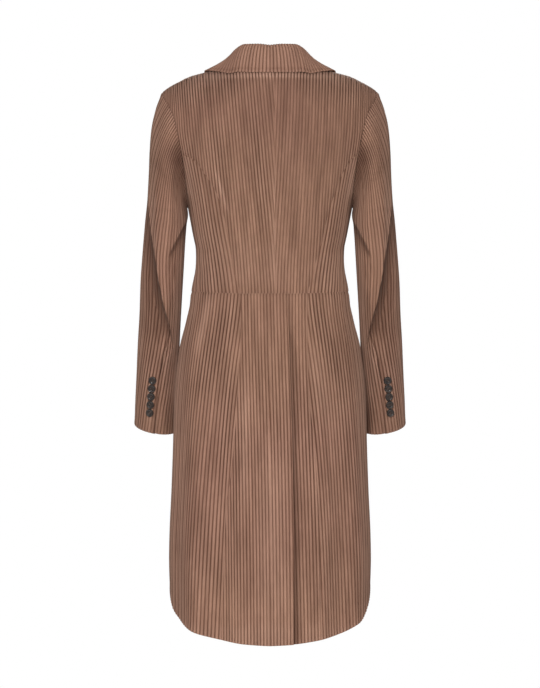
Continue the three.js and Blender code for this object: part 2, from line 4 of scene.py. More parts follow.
import bpy
import numpy as np
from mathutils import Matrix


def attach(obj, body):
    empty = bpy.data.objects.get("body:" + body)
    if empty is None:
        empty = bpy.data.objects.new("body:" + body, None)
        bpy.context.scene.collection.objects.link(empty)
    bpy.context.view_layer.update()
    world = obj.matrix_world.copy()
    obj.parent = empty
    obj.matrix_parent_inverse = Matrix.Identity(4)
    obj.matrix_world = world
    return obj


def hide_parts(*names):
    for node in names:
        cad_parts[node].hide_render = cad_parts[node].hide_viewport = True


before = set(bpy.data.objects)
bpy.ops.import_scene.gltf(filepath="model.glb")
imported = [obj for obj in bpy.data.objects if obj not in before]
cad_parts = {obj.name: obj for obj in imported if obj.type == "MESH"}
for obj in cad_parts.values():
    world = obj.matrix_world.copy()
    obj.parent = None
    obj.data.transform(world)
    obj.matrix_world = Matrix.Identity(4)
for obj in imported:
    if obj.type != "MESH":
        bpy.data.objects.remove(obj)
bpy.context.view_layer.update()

# A long fitted suit jacket in brown wide-wale corduroy, filled out, seen from behind.
# Sizes here are millimetres and become metres when a mesh is made.  +Z up, the back of the
# jacket faces +Y, +X is the wearer's left.

# ---- sizes ------------------------------------------------------------------------------
WALL = 2.4            # cloth from its back to the foot of the cords
PITCH = 5.9           # one cord and its groove
CORD = 1.75           # height of a cord over its groove
ROW = 10.0            # spacing of mesh rows along the cords
GAP = 0.4
WAIST_GAP = -0.3
CROWN_BACK, CROWN_FRONT = 90, 112
UNDERARM_Z, SHOULDER_TIP_Z = -238, -26
NECK_X, NECK_BACK_Z, NECK_SIDE_Z = 75, 20, 27
WAIST_SIDE_Z, WAIST_DIP = -394, 5
CENTRE_BACK_X = -9
SIDE_SEAM = 97
UNDERLAP = 34
SEAM_TOP_Z = -140.8
# columns of the mesh across one cord, as shares of the pitch; the groove is at 0
PHASES = np.array([0.0, 0.055, 0.14, 0.29, 0.5, 0.71, 0.86, 0.945])


def table(columns, rows):
    names = columns.split()
    return [dict(zip(names, r)) for r in rows]


# body sections: half width, depth behind and in front, roundness
BODY = table("z half back front round", [
    (60, 206, 62, 66, 2.4), (20, 206, 73, 80, 2.4), (-26, 206, 96, 99, 2.4), (-50, 204, 105, 108, 2.35),
    (-80, 200, 112, 115, 2.3), (-110, 193, 117, 120, 2.3), (-140, 183, 119, 124, 2.3), (-170, 171, 118, 126, 2.35),
    (-200, 161, 116, 125, 2.4), (-238, 152.4, 113, 122, 2.45), (-257, 148.7, 109, 118, 2.5), (-290, 142.5, 104, 112, 2.6),
    (-315, 137.6, 100, 107, 2.65), (-338, 136.6, 98, 104, 2.65), (-357, 138.6, 99, 103, 2.65), (-381, 143.6, 102, 104, 2.65),
    (-398, 146.4, 105, 106, 2.65), (-422, 148.8, 110, 108, 2.7), (-438, 152.6, 114, 110, 2.7), (-458, 157.2, 118, 112, 2.75),
    (-477, 162.4, 121, 114, 2.75), (-494, 166.6, 124, 115, 2.75), (-524, 171, 127, 117, 2.75), (-573, 176.5, 130, 119, 2.75),
    (-614, 178.5, 132, 120, 2.75), (-660, 179.2, 134, 121, 2.75), (-760, 182.4, 137, 124, 2.75), (-845, 186.2, 140, 126, 2.75),
    (-888, 187, 141, 127, 2.75), (-966, 185, 143, 128, 2.75), (-1050, 184, 145, 129, 2.75)])
CREST = table("x z", [
    (0, 80), (60, 41), (75, 27), (96, 19), (110, 15), (125, 11), (142, 6.6), (157, 0.8), (165, -3.5), (176, -9),
    (188, -16), (197, -22.5), (201.5, -26.3), (215, -40)])
ARMHOLE = table("z back front", [
    (-238, 152.1, 152.1), (-228, 153.6, 152.6), (-200, 155.5, 152), (-170, 159.5, 153), (-140, 163.5, 156),
    (-109, 170, 162), (-72, 178.5, 174), (-52, 188, 185), (-40, 194.5, 193), (-30, 199.5, 199.2),
    (-26, 201.5, 201.5), (60, 201.5, 201.5)])
SIDE_BACK = table("z left right", [
    (-140, 163.3, -163.3), (-146, 153, -157), (-157, 137, -147), (-185, 116.6, -131), (-216, 98, -120),
    (-250, 87, -109), (-300, 76, -96.5), (-355, 66.6, -81), (-400, 54.5, -69.5)])
SKIRT_SEAM = table("z left right vent", [
    (-394, 53.6, -70, -27.8), (-466, 53.6, -69, -33.3), (-564, 58.5, -70.5, -36), (-675, 66.6, -81, -39.3),
    (-745, 74.7, -85.5, -40.5), (-803, 83, -88, -41.2), (-930, 88, -90.5, -41.7), (-1050, 91, -92, -41.8)])
HEM = table("deg z", [
    (0, -1046.5), (8.1, -1044), (17, -1039.2), (27.9, -1032.5), (40.4, -1024), (52.3, -1012), (61.1, -1002), (69.9, -989), (78.8, -971),
    (90, -946), (106.7, -900), (123.3, -836), (139.6, -750), (155.1, -636), (166.7, -525), (174.4, -455), (179.1, -424), (192, -420)])
OPENING = table("z edge lapel", [
    (27, 75, 95), (0, 72, 104), (-30, 67, 121), (-60, 61, 129), (-120, 49, 114), (-200, 31, 82),
    (-300, 5, 30), (-345, -9, -1), (-372, -17, -14), (-400, -20, -18)])
FOLDS = table("deg throw spread", [
    (9.8, 3.5, 6), (21.9, -4, 7), (42.6, 5, 9), (63.3, -3.5, 8), (-21.9, 4, 7), (-38.3, -4.5, 9), (-56.7, 2.5, 8), (-72.2, -0.4, 7),
    (121.3, 4, 10), (-114.5, 4, 11), (146.9, -4, 9), (-142.8, -4, 10)])
SLEEVE = table("row ox oz ix iz deep cy tip arm", [
    (0, 203.1, -26, 153.7, -238, 66, 0, 0, 1), (1, 211.5, -54, 157.4, -239.5, 72, 0, 0, 0.8),
    (2, 218, -92, 157.2, -242, 74, 0, 0, 0.5), (3, 221, -134, 156.6, -249, 74, 0, 0, 0.25),
    (4, 222.4, -178, 156.2, -260, 72.5, 0, 0, 0.08), (5, 224.6, -222, 156.2, -276, 70, 0, 0.02, 0),
    (6, 229, -264, 157.6, -299, 67, -2, 0.05, 0), (7, 233, -310, 159.4, -330, 63.5, -6, 0.1, 0),
    (8, 236.8, -358, 161.6, -367, 60, -13, 0.16, 0), (9, 240.4, -406, 164.2, -408, 57, -23, 0.21, 0),
    (10, 243.8, -454, 166.8, -452, 55, -35, 0.24, 0), (11, 246.7, -502, 169, -498, 53.5, -48, 0.26, 0),
    (12, 249, -550, 171, -548, 52, -61, 0.27, 0), (13, 251.4, -598, 172.5, -600, 51, -74, 0.27, 0),
    (14, 253, -640, 174, -652, 50, -85, 0.27, 0)])
SLEEVE_LINES = table("row hind fore ridge throw", [
    (0, 112, 236, 40, 0), (4, 114, 238, 48, 1), (6, 118, 240, 62, 3), (8, 122, 242, 76, 5), (10, 119, 243, 103, 5),
    (11, 104, 244, 112, 1), (12, 94, 245, 112, 0), (14, 88, 246, 112, 0)])
COLLAR = table("part sx sy sz fx fy fz ex ey", [
    (0, 0, 70, 21.2, 0, 62, 61, 0, 77.3), (1, 22, 66, 22, 22, 59.5, 63, 30, 71.9), (2, 44, 53, 24, 45.5, 49, 63, 60, 59),
    (3, 62, 34, 26.6, 63, 31, 55.5, 90, 36.5), (4, 71.5, 10, 29, 70.5, 10, 46.5, 112, 14), (5, 73, -14, 27, 71.5, -12, 38, 121, -14),
    (6, 72, -40, 15, 72.5, -40, 26, 121, -42), (7, 70, -64, -2, 71, -68, 8, 113, -64)])
CUFF_BUTTON_Z = (-559.5, -574.6, -589.7, -604.8, -619.9)

# lean of the cords in degrees by height: positive leans towards the middle going down
LEAN = table("z back_left back_right side skirt_back_left skirt_back_right skirt_front", [
    (60, 4, 1.5, 8, 0, 0, 0), (-60, 5, 2, 8, 0, 0, 0), (-140, 5, 3, 8, 0, 0, 0), (-230, 5.5, 3.5, 9, 0, 0, 0),
    (-300, 5, 3.5, 11, 0, 0, 0), (-360, 4, 2.5, 9, 0, 0, 0), (-398, 3, 1, 6, 1, 0, -4), (-480, 3, 1, 6, 1.5, -1, -8),
    (-573, 3, 1, 6, 1.8, -2, -6.5), (-700, 3, 1, 6, 1.3, -2, -4.5), (-850, 3, 1, 6, 0.8, -1.5, -3), (-1060, 3, 1, 6, 0.3, -1, -2)])


# ---- curves through the tables -------------------------------------------------------------
def column(rows, key, name):
    rows = sorted(rows, key=lambda r: r[key])
    xs, ys = (np.array([r[k] for r in rows], float) for k in (key, name))
    d = np.diff(ys) / np.diff(xs)
    m = np.zeros(len(xs))
    for i in range(1, len(xs) - 1):
        m[i] = 0 if d[i - 1] * d[i] <= 0 else 2 * d[i - 1] * d[i] / (d[i - 1] + d[i])
    m[0], m[-1] = d[0], d[-1]

    def f(s):
        s = np.clip(np.asarray(s, float), xs[0], xs[-1])
        i = np.clip(np.searchsorted(xs, s, side="right") - 1, 0, len(xs) - 2)
        h = xs[i + 1] - xs[i]
        t = (s - xs[i]) / h
        t2, t3 = t * t, t * t * t
        return ys[i] * (2 * t3 - 3 * t2 + 1) + m[i] * h * (t3 - 2 * t2 + t) + ys[i + 1] * (3 * t2 - 2 * t3) + m[i + 1] * h * (t3 - t2)
    return f


half, deep_back, deep_front = (column(BODY, "z", n) for n in ("half", "back", "front"))
roundness, crest = column(BODY, "z", "round"), column(CREST, "x", "z")
arm_back, arm_front = column(ARMHOLE, "z", "back"), column(ARMHOLE, "z", "front")
hem_at = column(HEM, "deg", "z")
side_back = {1: column(SIDE_BACK, "z", "left"), -1: column(SIDE_BACK, "z", "right")}
skirt_seam = {1: column(SKIRT_SEAM, "z", "left"), -1: column(SKIRT_SEAM, "z", "right")}
vent_edge = column(SKIRT_SEAM, "z", "vent")
roll_line, lapel_line = column(OPENING, "z", "edge"), column(OPENING, "z", "lapel")
arm = {n: column(SLEEVE, "row", n) for n in ("ox", "oz", "ix", "iz", "deep", "cy", "tip", "arm")}
line = {n: column(SLEEVE_LINES, "row", n) for n in ("hind", "fore", "ridge", "throw")}
WORD = {1: "left", -1: "right"}
RAD = math.pi / 180


def mix(a, b, t):
    return a + (b - a) * t


def ease(v, a, b):
    t = np.clip((v - a) / (b - a), 0, 1)
    return t * t * (3 - 2 * t)


def bell(v):
    return np.exp(-v * v)


def deg_at(x, z):
    return np.sign(x) * np.arcsin(np.clip(np.abs(x) / half(z), 0, 1) ** (roundness(z) / 2)) / RAD


def deg_front(x, side, z):
    return np.where(x * side >= 0, 180 - np.abs(deg_at(x, z)), 180 + np.abs(deg_at(x, z)))


def skirt_fold(deg, z):
    grow = ease(-z, 420, 900)
    return sum(f["throw"] * grow * bell((deg - f["deg"]) / f["spread"]) for f in FOLDS)


def body(deg, z, out=0.0, folds=True):
    deg, z = np.broadcast_arrays(np.asarray(deg, float), np.asarray(z, float))
    s, c, p = np.sin(deg * RAD), np.cos(deg * RAD), 2 / roundness(z)
    front = c < 0
    x = half(z) * np.sign(s) * np.abs(s) ** p
    t = np.clip((crest(np.abs(x)) - z) / np.where(front, CROWN_FRONT, CROWN_BACK), 0, 1)
    k = np.sqrt(np.maximum(0, 1 - (1 - t) ** 2))
    y = np.where(front, -1, 1) * (0.3 + np.where(front, deep_front(z), deep_back(z)) * np.abs(c) ** p * np.where(z > UNDERARM_Z, k, 1))
    push = out + (np.where(z < -420, skirt_fold(deg, z), 0) if folds else 0)
    r = np.maximum(np.hypot(x, y), 1)
    return np.stack([x + push * x / r, y + push * y / r, z], -1)


def unit(v):
    return v / np.maximum(np.linalg.norm(v, axis=-1, keepdims=True), 1e-12)


def body_normal(deg, z, out=0.0):
    p = body(deg, z, out)
    a = body(deg + 0.4, z, out) - body(deg - 0.4, z, out)
    b = body(deg, z + 0.8, out) - body(deg, z - 0.8, out)
    n = unit(np.cross(b, a))
    flip = ((n[..., 0] * p[..., 0] + n[..., 1] * p[..., 1] < 0) & (np.abs(n[..., 2]) < 0.9)) | (n[..., 2] < -0.9)
    n = np.where(flip[..., None], -n, n)
    at_seam = (crest(np.abs(p[..., 0])) - z < 0.4)[..., None]
    return unit(np.where(at_seam, n * np.array([1, 0, 1]), n))


def waist_z(deg):
    return WAIST_SIDE_Z - WAIST_DIP * np.maximum(0, np.cos(np.asarray(deg) * RAD)) ** 2


def sleeve(deg, row):
    deg, row = np.broadcast_arrays(np.asarray(deg, float), np.asarray(row, float))
    c, s = np.cos(deg * RAD), np.sin(deg * RAD)
    cc, ss = np.sign(c) * np.abs(c) ** 0.94, np.sign(s) * np.abs(s) ** 0.94

    def ring(r):
        f = (1 + cc) / 2
        return np.stack([mix(arm["ix"](r), arm["ox"](r), f), arm["cy"](r) + arm["deep"](r) * ss,
                         mix(arm["iz"](r), arm["oz"](r), f) - arm["tip"](r) * arm["deep"](r) * ss], -1)
    p = ring(row)
    z = mix(UNDERARM_Z, SHOULDER_TIP_Z, (1 + c) / 2)
    front = s < 0
    x = np.where(front, arm_front(z), arm_back(z))
    xs = np.minimum(x, half(z) - 0.01)
    q = body(np.where(front, deg_front(xs, 1, z), deg_at(xs, z)), z)
    loop = np.stack([x + 0.2, q[..., 1] * np.clip(np.abs(s) * 3, 0, 1), z], -1)
    p = p + arm["arm"](row)[..., None] * (loop - ring(np.zeros_like(row)))
    mid = np.stack([(arm["ix"](row) + arm["ox"](row)) / 2, arm["cy"](row), p[..., 2]], -1)
    out = unit((p - mid) * np.array([1, 1, 0]))
    t, ridge = line["throw"](row), line["ridge"](row)
    push = t * 0.6 * bell((deg - ridge - 6) / 12) - t * bell((deg - ridge + 14) / 11)
    return p + push[..., None] * out


def sleeve_normal(deg, row):
    a = sleeve(deg + 1, row) - sleeve(deg - 1, row)
    b = sleeve(deg, np.minimum(row + 0.1, 14)) - sleeve(deg, np.maximum(row - 0.1, 0))
    return unit(np.cross(b, a))


# ---- charts: where a length across the cords lies on a surface ------------------------------
class Chart:
    """Length round a section against its angle, at each height (or sleeve section)."""

    def __init__(self, t, a, s):
        self.t, self.a, self.s = t, a, s          # s rises with a at each t

    def _lines(self, t):
        i = np.clip(np.searchsorted(self.t, t, side="right") - 1, 0, len(self.t) - 2)
        return i, (t - self.t[i]) / (self.t[i + 1] - self.t[i])

    def _each(self, v, t, xs, ys):
        v, t = np.broadcast_arrays(np.asarray(v, float), np.clip(np.asarray(t, float), self.t[0], self.t[-1]))
        shape = v.shape
        v, t = v.ravel(), t.ravel()
        i, f = self._lines(t)
        out = np.empty(len(v))
        order = np.argsort(i, kind="stable")
        cuts = np.flatnonzero(np.diff(i[order])) + 1
        for part in np.split(order, cuts):
            if len(part):
                k = i[part[0]]
                out[part] = mix(np.interp(v[part], xs(k), ys(k)), np.interp(v[part], xs(k + 1), ys(k + 1)), f[part])
        return out.reshape(shape)

    def angle(self, s, t):
        return self._each(s, t, lambda k: self.s[k], lambda k: self.a)

    def length(self, a, t):
        return self._each(a, t, lambda k: self.a, lambda k: self.s[k])


def lengths(points, a, zero):
    d = np.linalg.norm(np.diff(points, axis=1), axis=-1)
    s = np.concatenate([np.zeros((len(points), 1)), np.cumsum(d, axis=1)], axis=1)
    at = np.array([np.interp(zero, a, row) for row in s])
    return s - at[:, None]


def body_chart(from_front):
    z = np.arange(-1062.0, 92.0, 4.0)
    a = np.arange(-40.0, 200.5, 0.5)
    zz, aa = np.meshgrid(z, a, indexing="ij")
    p = body(aa, zz, folds=False)
    s = lengths(p, a, 180 if from_front else 0)
    # over the shoulders the cords run on straight, as they do a little lower down
    ref = int(np.argmin(np.abs(z + 100)))
    pick = a >= 90 if from_front else a <= 90
    order = np.argsort(p[ref, pick, 0])
    rx, rs = p[ref, pick, 0][order], s[ref, pick][order]
    for i in np.flatnonzero(z > -100):
        x = p[i, pick, 0]
        top = rx[-1]
        sgn = -1 if from_front else 1
        s[i, pick] = np.interp(x, rx, rs) + sgn * np.maximum(0, x - top)
        other = ~pick
        base = s[i, pick][0] if from_front else s[i, pick][-1]
        n = other.sum()
        s[i, other] = base - 0.3 * np.arange(n, 0, -1) if from_front else base + 0.3 * np.arange(1, n + 1)
    s = np.maximum.accumulate(s, axis=1)
    s += np.arange(s.shape[1]) * 1e-7
    return Chart(z, a, s)


BACK_CHART, FRONT_CHART = body_chart(False), body_chart(True)


def sleeve_chart():
    r = np.linspace(0, 14, 141)
    a = np.arange(-140.0, 262.0, 1.0)
    rr, aa = np.meshgrid(r, a, indexing="ij")
    return Chart(r, a, lengths(sleeve(aa, rr), a, 60))


SLEEVE_CHART = sleeve_chart()


def shift_from(lean_column, sign, top=60.0):
    z = np.arange(-1064.0, 92.0, 2.0)
    lean = column(LEAN, "z", lean_column)(z)
    total = np.concatenate([[0], np.cumsum((np.tan(lean[1:] * RAD) + np.tan(lean[:-1] * RAD)) / 2 * 2.0)])
    total -= np.interp(-398 if "skirt" in lean_column else -100, z, total)
    return lambda v: sign * np.interp(v, z, total)


# ---- cloth with cords ------------------------------------------------------------------------
def cord_height(u):
    """Height of the pile, 0 in the groove and 1 along the top of the cord."""
    f = np.abs(((u / PITCH) % 1) - 0.5) * 2
    return np.clip(1 - f ** 2.3, 0, 1) ** 0.72


def hashed(n, seed=0):
    v = np.sin(np.asarray(n, float) * 12.9898 + seed * 78.233) * 43758.5453
    return v - np.floor(v)


MESH_STATS = {}


def make_mesh(name, pos, tri, mat, uv, materials, tone=None):
    me = bpy.data.meshes.new(name)
    me.vertices.add(len(pos))
    me.vertices.foreach_set("co", (pos / 1000).astype(np.float32).ravel())
    me.loops.add(tri.size)
    me.loops.foreach_set("vertex_index", tri.astype(np.int32).ravel())
    me.polygons.add(len(tri))
    me.polygons.foreach_set("loop_start", np.arange(0, tri.size, 3, dtype=np.int32))
    me.polygons.foreach_set("loop_total", np.full(len(tri), 3, dtype=np.int32))
    me.polygons.foreach_set("material_index", mat.astype(np.int32))
    me.polygons.foreach_set("use_smooth", np.ones(len(tri), dtype=bool))
    me.update(calc_edges=True)
    layer = me.uv_layers.new(name="grain")
    layer.uv.foreach_set("vector", uv[tri.ravel()].astype(np.float32).ravel())
    if tone is not None:
        second = me.uv_layers.new(name="tone")
        second.uv.foreach_set("vector", tone[tri.ravel()].astype(np.float32).ravel())
    for m in materials:
        me.materials.append(m)
    me.validate(clean_customdata=False)
    me.set_sharp_from_angle(angle=math.radians(62))
    ob = bpy.data.objects.new(name, me)
    bpy.context.scene.collection.objects.link(ob)
    return ob


def close_up(outer, inner, uv_out, tone_out, snap):
    """Two layers of a grid joined at their rims.  Points that the cut has pushed together are one."""
    k, j = outer.shape[:2]
    pos = np.concatenate([outer.reshape(-1, 3), inner.reshape(-1, 3)])
    uv = np.concatenate([np.concatenate([uv_out, tone_out], -1).reshape(-1, 4)] * 2)
    at = np.arange(k * j).reshape(k, j)
    ids = np.concatenate([at.ravel(), (k * j + at[snap]).ravel()])   # coarser columns behind
    key = np.round(pos * 2000).astype(np.int64)
    key = np.concatenate([key, (np.arange(len(pos)) >= k * j)[:, None].astype(np.int64)], axis=1)
    _, first, back = np.unique(key, axis=0, return_index=True, return_inverse=True)
    ids = first[back.ravel()[ids]]
    o = ids[:k * j].reshape(k, j)
    i = ids[k * j:].reshape(k, j)

    def quads(a, b, c, d):
        return np.stack([a.ravel(), b.ravel(), c.ravel(), d.ravel()], -1)
    parts = [
        (quads(o[:-1, :-1], o[1:, :-1], o[1:, 1:], o[:-1, 1:]), 0),
        (quads(i[:-1, :-1], i[:-1, 1:], i[1:, 1:], i[1:, :-1]), 1),
        (quads(o[:-1, 0], i[:-1, 0], i[1:, 0], o[1:, 0]), 0),
        (quads(o[:-1, -1], o[1:, -1], i[1:, -1], i[:-1, -1]), 0),
        (quads(o[0, :-1], o[0, 1:], i[0, 1:], i[0, :-1]), 0),
        (quads(o[-1, :-1], i[-1, :-1], i[-1, 1:], o[-1, 1:]), 0),
    ]
    tri, mat = [], []
    for q, m in parts:
        t = np.concatenate([q[:, [0, 1, 2]], q[:, [0, 2, 3]]])
        good = (t[:, 0] != t[:, 1]) & (t[:, 1] != t[:, 2]) & (t[:, 0] != t[:, 2])
        tri.append(t[good])
        mat.append(np.full(good.sum(), m))
    tri, mat = np.concatenate(tri), np.concatenate(mat)
    used, new = np.unique(tri, return_inverse=True)
    tri = new.reshape(-1, 3)
    pos, uv = pos[used], uv[used]
    a, b, c = (pos[tri[:, n]] for n in range(3))
    if (np.einsum("ij,ij->i", a, np.cross(b, c))).sum() < 0:
        tri = tri[:, ::-1]
    return pos, tri, mat, uv[:, :2], uv[:, 2:]


def groove_shade(n):
    """Painted shade in the grooves, stronger where the cloth turns away from the light."""
    return 1.15 - 0.95 * ease(np.abs(n[..., 1]), 0.45, 0.985)


# painted shade (+dark) and painted highlights (-dark) on the pile, partly standing for its lie, and painted shade in
# its grooves (deep), by place, reach and lean
BODY_SHADE_AND_PILE = table("x z reach_x reach_z lean dark deep", [
    (-9.2, -81, 148, 102, 0, 0.19, -0.05), (-96.2, -89, 51.8, 78, 0, 0.08, -0.25), (-55.5, -253, 81.4, 111, 0, 0.07, -0.22),
    (14.8, -340, 111, 48, 0, -0.1, -0.08), (136.9, -253, 16.7, 139, 0.14, -0.14, 0.9), (-136.9, -253, 16.7, 139, -0.14, -0.14, 0.9),
    (98.1, -152, 13, 83, 0.05, 0.02, 0.6), (20.4, -161, 11.1, 120, 0.1, 0, 0.6), (64.8, -63, 9.2, 56, 0, 0, 0.3),
    (-3.7, -855, 25.9, 166, 0, -0.2, -0.15), (98.1, -494, 22.2, 81, -0.37, 0.12, 1.2), (-101.8, -481, 16.7, 81, 0.36, 0.1, 1),
    (124, -457, 7.4, 52, -0.22, -0.3, -0.2), (46.2, -670, 6.5, 115, -0.02, -0.3, -0.2), (59.2, -710, 9.2, 111, -0.05, 0.1, 0.4),
    (105.5, -870, 55.5, 74, 0, 0.1, 0.3), (-122.1, -903, 40.7, 74, 0, 0.12, 0.1), (0, -1027, 166.5, 20, 0, -0.14, 0.2),
    (-90.7, -566, 13, 74, 0.2, -0.14, 0), (-81.4, -744, 14.8, 166, 0.04, 0.03, 0.45), (173.9, -725, 16.7, 250, -0.03, -0.08, 1.2),
    (-175.8, -725, 16.7, 250, 0.03, -0.08, 1.2), (0, 4, 118.4, 6, 0, -0.55, 0.7), (-8.3, -207, 3.1, 185, 0, -0.32, 0),
    (94.4, -192, 3.3, 22, 0.33, -0.4, 0), (85.1, -224, 3.7, 26, 0.3, -0.4, 0), (148, -30, 29.6, 24, 0, -0.12, 0.5),
    (-149.8, -30, 29.6, 24, 0, -0.12, 0.5), (81.4, -633, 9.2, 111, -0.06, 0.05, 0.5), (107.3, -327, 24.1, 78, 0.12, -0.04, 0.8), (118.4, -4, 27.8, 13, 0, -0.2, 0.3),
    (-120.2, -4, 27.8, 13, 0, -0.2, 0.3), (150.8, -185, 6.5, 48, 0.1, -0.22, 0.5), (-150.8, -185, 6.5, 48, -0.1, -0.22, 0.5),
    (-111, -327, 24.1, 78, -0.12, -0.04, 0.8), (3.7, -744, 185, 278, 0, 0, 0.35), (150.8, -237, 5.9, 20, 0.1, 0.6, 0.5), (-149.8, -237, 5.9, 20, -0.1, 0.6, 0.5), (-135.1, -633, 11.1, 130, 0.05, 0.05, 0.4),
])
SLEEVE_SHADE_AND_PILE = table("x z reach_x reach_z lean dark deep", [
    (168.3, -181, 14.8, 56, 0.26, 0.22, 1.3), (-168.3, -181, 14.8, 56, -0.26, 0.22, 1.3), (181.3, -63, 16.7, 41, 0.1, -0.1, 0.5),
    (-183.2, -63, 16.7, 41, -0.1, -0.1, 0.5), (222, -290, 11.1, 83, 0, -0.12, 0.2), (-223.9, -290, 11.1, 83, 0, -0.12, 0.2),
    (186.9, -544, 14.8, 63, 0, -0.28, 0.8), (-186.9, -544, 14.8, 63, 0, -0.28, 0.8), (181.3, -625, 13, 33, 0, 0.22, 0.9),
    (-181.3, -625, 13, 33, 0, 0.22, 0.9), (223.9, -494, 22.2, 111, 0, 0.04, 0.7), (229.4, -581, 20.4, 63, 0, -0.12, 0), (233.1, -318, 9.2, 305, -0.062, -0.16, 0.3), (-231.2, -318, 9.2, 305, 0.062, -0.16, 0.3),
    (173.9, -451, 11.1, 56, -0.05, -0.22, 0.6), (-172.1, -451, 11.1, 56, 0.05, -0.22, 0.6), (173.9, -144, 13, 18, 0, 0.26, 0.3), (-173.9, -144, 13, 18, 0, 0.26, 0.3), (-229.4, -581, 20.4, 63, 0, -0.12, 0), (155.4, -239, 5.9, 22, 0.1, 0.6, 0.5), (-153.6, -239, 5.9, 22, -0.1, 0.6, 0.5), (-225.7, -494, 22.2, 111, 0, 0.04, 0.7),
    (166.5, -355, 9.2, 74, -0.05, -0.12, 0.5), (-164.7, -355, 9.2, 74, 0.05, -0.12, 0.5),
])


def shade_and_pile_lie(x, z, facing, rows_of):
    """Painted shade and painted highlights by place of the back, partly for the pile's lie, and painted groove shade,
    with a weaker echo in front.
    """
    dark, deep = np.zeros_like(x), np.zeros_like(x)
    for sign, much in ((1, facing), (-1, (1 - facing) * 0.5)):
        for c in rows_of:
            dz = z - c["z"]
            w = much * bell((sign * x - c["x"] - c["lean"] * dz) / c["reach_x"]) * np.exp(-(dz / c["reach_z"]) ** 4)
            dark, deep = dark + c["dark"] * w, deep + c["deep"] * w
    return dark, deep


def cloth(name, chart, t_rows, low, high, edge_a, edge_b, shift, point, normal, relief, side=1, seed=0, inside=None, shade=None, pitch=PITCH):
    """One cut piece.  Columns follow the cords; the cut edges trim them."""
    tf = np.linspace(t_rows[0], t_rows[-1], 500)
    ua_f = chart.length(edge_a(tf), tf) - shift(tf)
    ub_f = chart.length(edge_b(tf), tf) - shift(tf)
    lo_u, hi_u = min(ua_f.min(), ub_f.min()), max(ua_f.max(), ub_f.max())
    first, last = math.floor(lo_u / pitch) - 1, math.ceil(hi_u / pitch) + 1
    cols = ((np.arange(first, last)[:, None] + PHASES[None]) * pitch).ravel()
    keep = (cols > lo_u - pitch) & (cols < hi_u + pitch)
    index = np.arange(len(cols))[keep]
    cols = cols[keep]
    u, t = np.meshgrid(cols, t_rows, indexing="ij")
    ua, ub = (lambda v: np.interp(v, tf, ua_f)), (lambda v: np.interp(v, tf, ub_f))

    def limit(f, u1, start):
        v = np.full(u1.shape, float(start))
        for _ in range(8):
            a = chart.angle(np.clip(u1, ua(v), ub(v)) + shift(v), v)
            v = mix(v, f(a), 0.75)
        return v
    if low is not None:
        t = np.maximum(t, limit(low, cols, low(90) if callable(low) else low)[:, None])
    if high is not None:
        t = np.minimum(t, limit(high, cols, t_rows[-1])[:, None])
    uc = np.clip(u, ua(t), ub(t))
    a = chart.angle(uc + shift(t), t)
    p, n = point(a, t), normal(a, t)
    d_edge = np.minimum(uc - ua(t), ub(t) - uc)
    d_low = np.abs(t - t.min(axis=1, keepdims=True))
    d_high = np.abs(t.max(axis=1, keepdims=True) - t)
    r = relief(a, t, uc, d_edge, d_low, d_high, p)
    h = cord_height(uc * PITCH / pitch) * CORD * (0.94 + 0.12 * hashed(np.floor(uc / pitch), seed)) - 1.3
    worn = 1 - 0.5 * bell(d_edge / 1.6)
    outer = p + n * (h * worn + r)[..., None]
    inner = p + (n if inside is None else unit(inside(a, t) + n)) * (r - WALL + 0.2)[..., None]
    if side < 0:
        outer, inner = outer * np.array([-1, 1, 1]), inner * np.array([-1, 1, 1])
    # behind, one column for each cord
    phase = index % len(PHASES)
    target = index - phase + 4
    snap = np.array([np.argmin(np.abs(index - v)) for v in target])
    uv_out = np.stack([uc / pitch + seed * 200, t / 100], -1)
    n0 = n if inside is None else inside(a, t)
    # painted shade: darker where the cloth turns sideways, plus the piece's own painted shade function
    dark = 0.04 * (1 - ease(np.abs(n0[..., 1]), 0.15, 0.8)) + (0 if shade is None else shade(a, t, p))
    # painted shade in the dips of the relief
    dark = dark + 0.10 * np.maximum(0, -r)
    shade_and_lie, deep = shade_and_pile_lie(side * p[..., 0], p[..., 2], ease(n0[..., 1], -0.25, 0.25), SLEEVE_SHADE_AND_PILE if "sleeve" in name else BODY_SHADE_AND_PILE)
    # tone u is painted shade (below zero a painted highlight); tone v is painted shade in the grooves, stronger where
    # the cloth turns away
    tone = np.stack([np.clip(dark + shade_and_lie, -0.6, 1), np.clip(groove_shade(n0) + deep, 0, 1.1) + 0.3 * (1 - ease(np.abs(n0[..., 1]), 0.30, 0.66))], -1)
    pos, tri, mat, uv, tones = close_up(outer, inner, uv_out, tone, snap)
    ob = make_mesh(name, pos, tri, mat, uv, [PILE, BACKING], tones)
    # flat size: across the cords and along them, from the unpleated base
    base = p
    da = np.linalg.norm(np.cross(base[1:, :-1] - base[:-1, :-1], base[:-1, 1:] - base[:-1, :-1]), axis=-1).sum()
    across = float(np.max(ub_f - ua_f))
    along = float(np.max(np.linalg.norm(np.diff(base, axis=1), axis=-1).sum(axis=1)))
    MESH_STATS[name] = [len(tri), round(across), round(along), round(da / 1e6, 4)]
    return ob


# ---- materials ---------------------------------------------------------------------------------
def new_material(name):
    m = bpy.data.materials.new(name)
    m.use_nodes = True
    nt = m.node_tree
    return m, nt, nt.nodes["Principled BSDF"], nt.nodes, nt.links


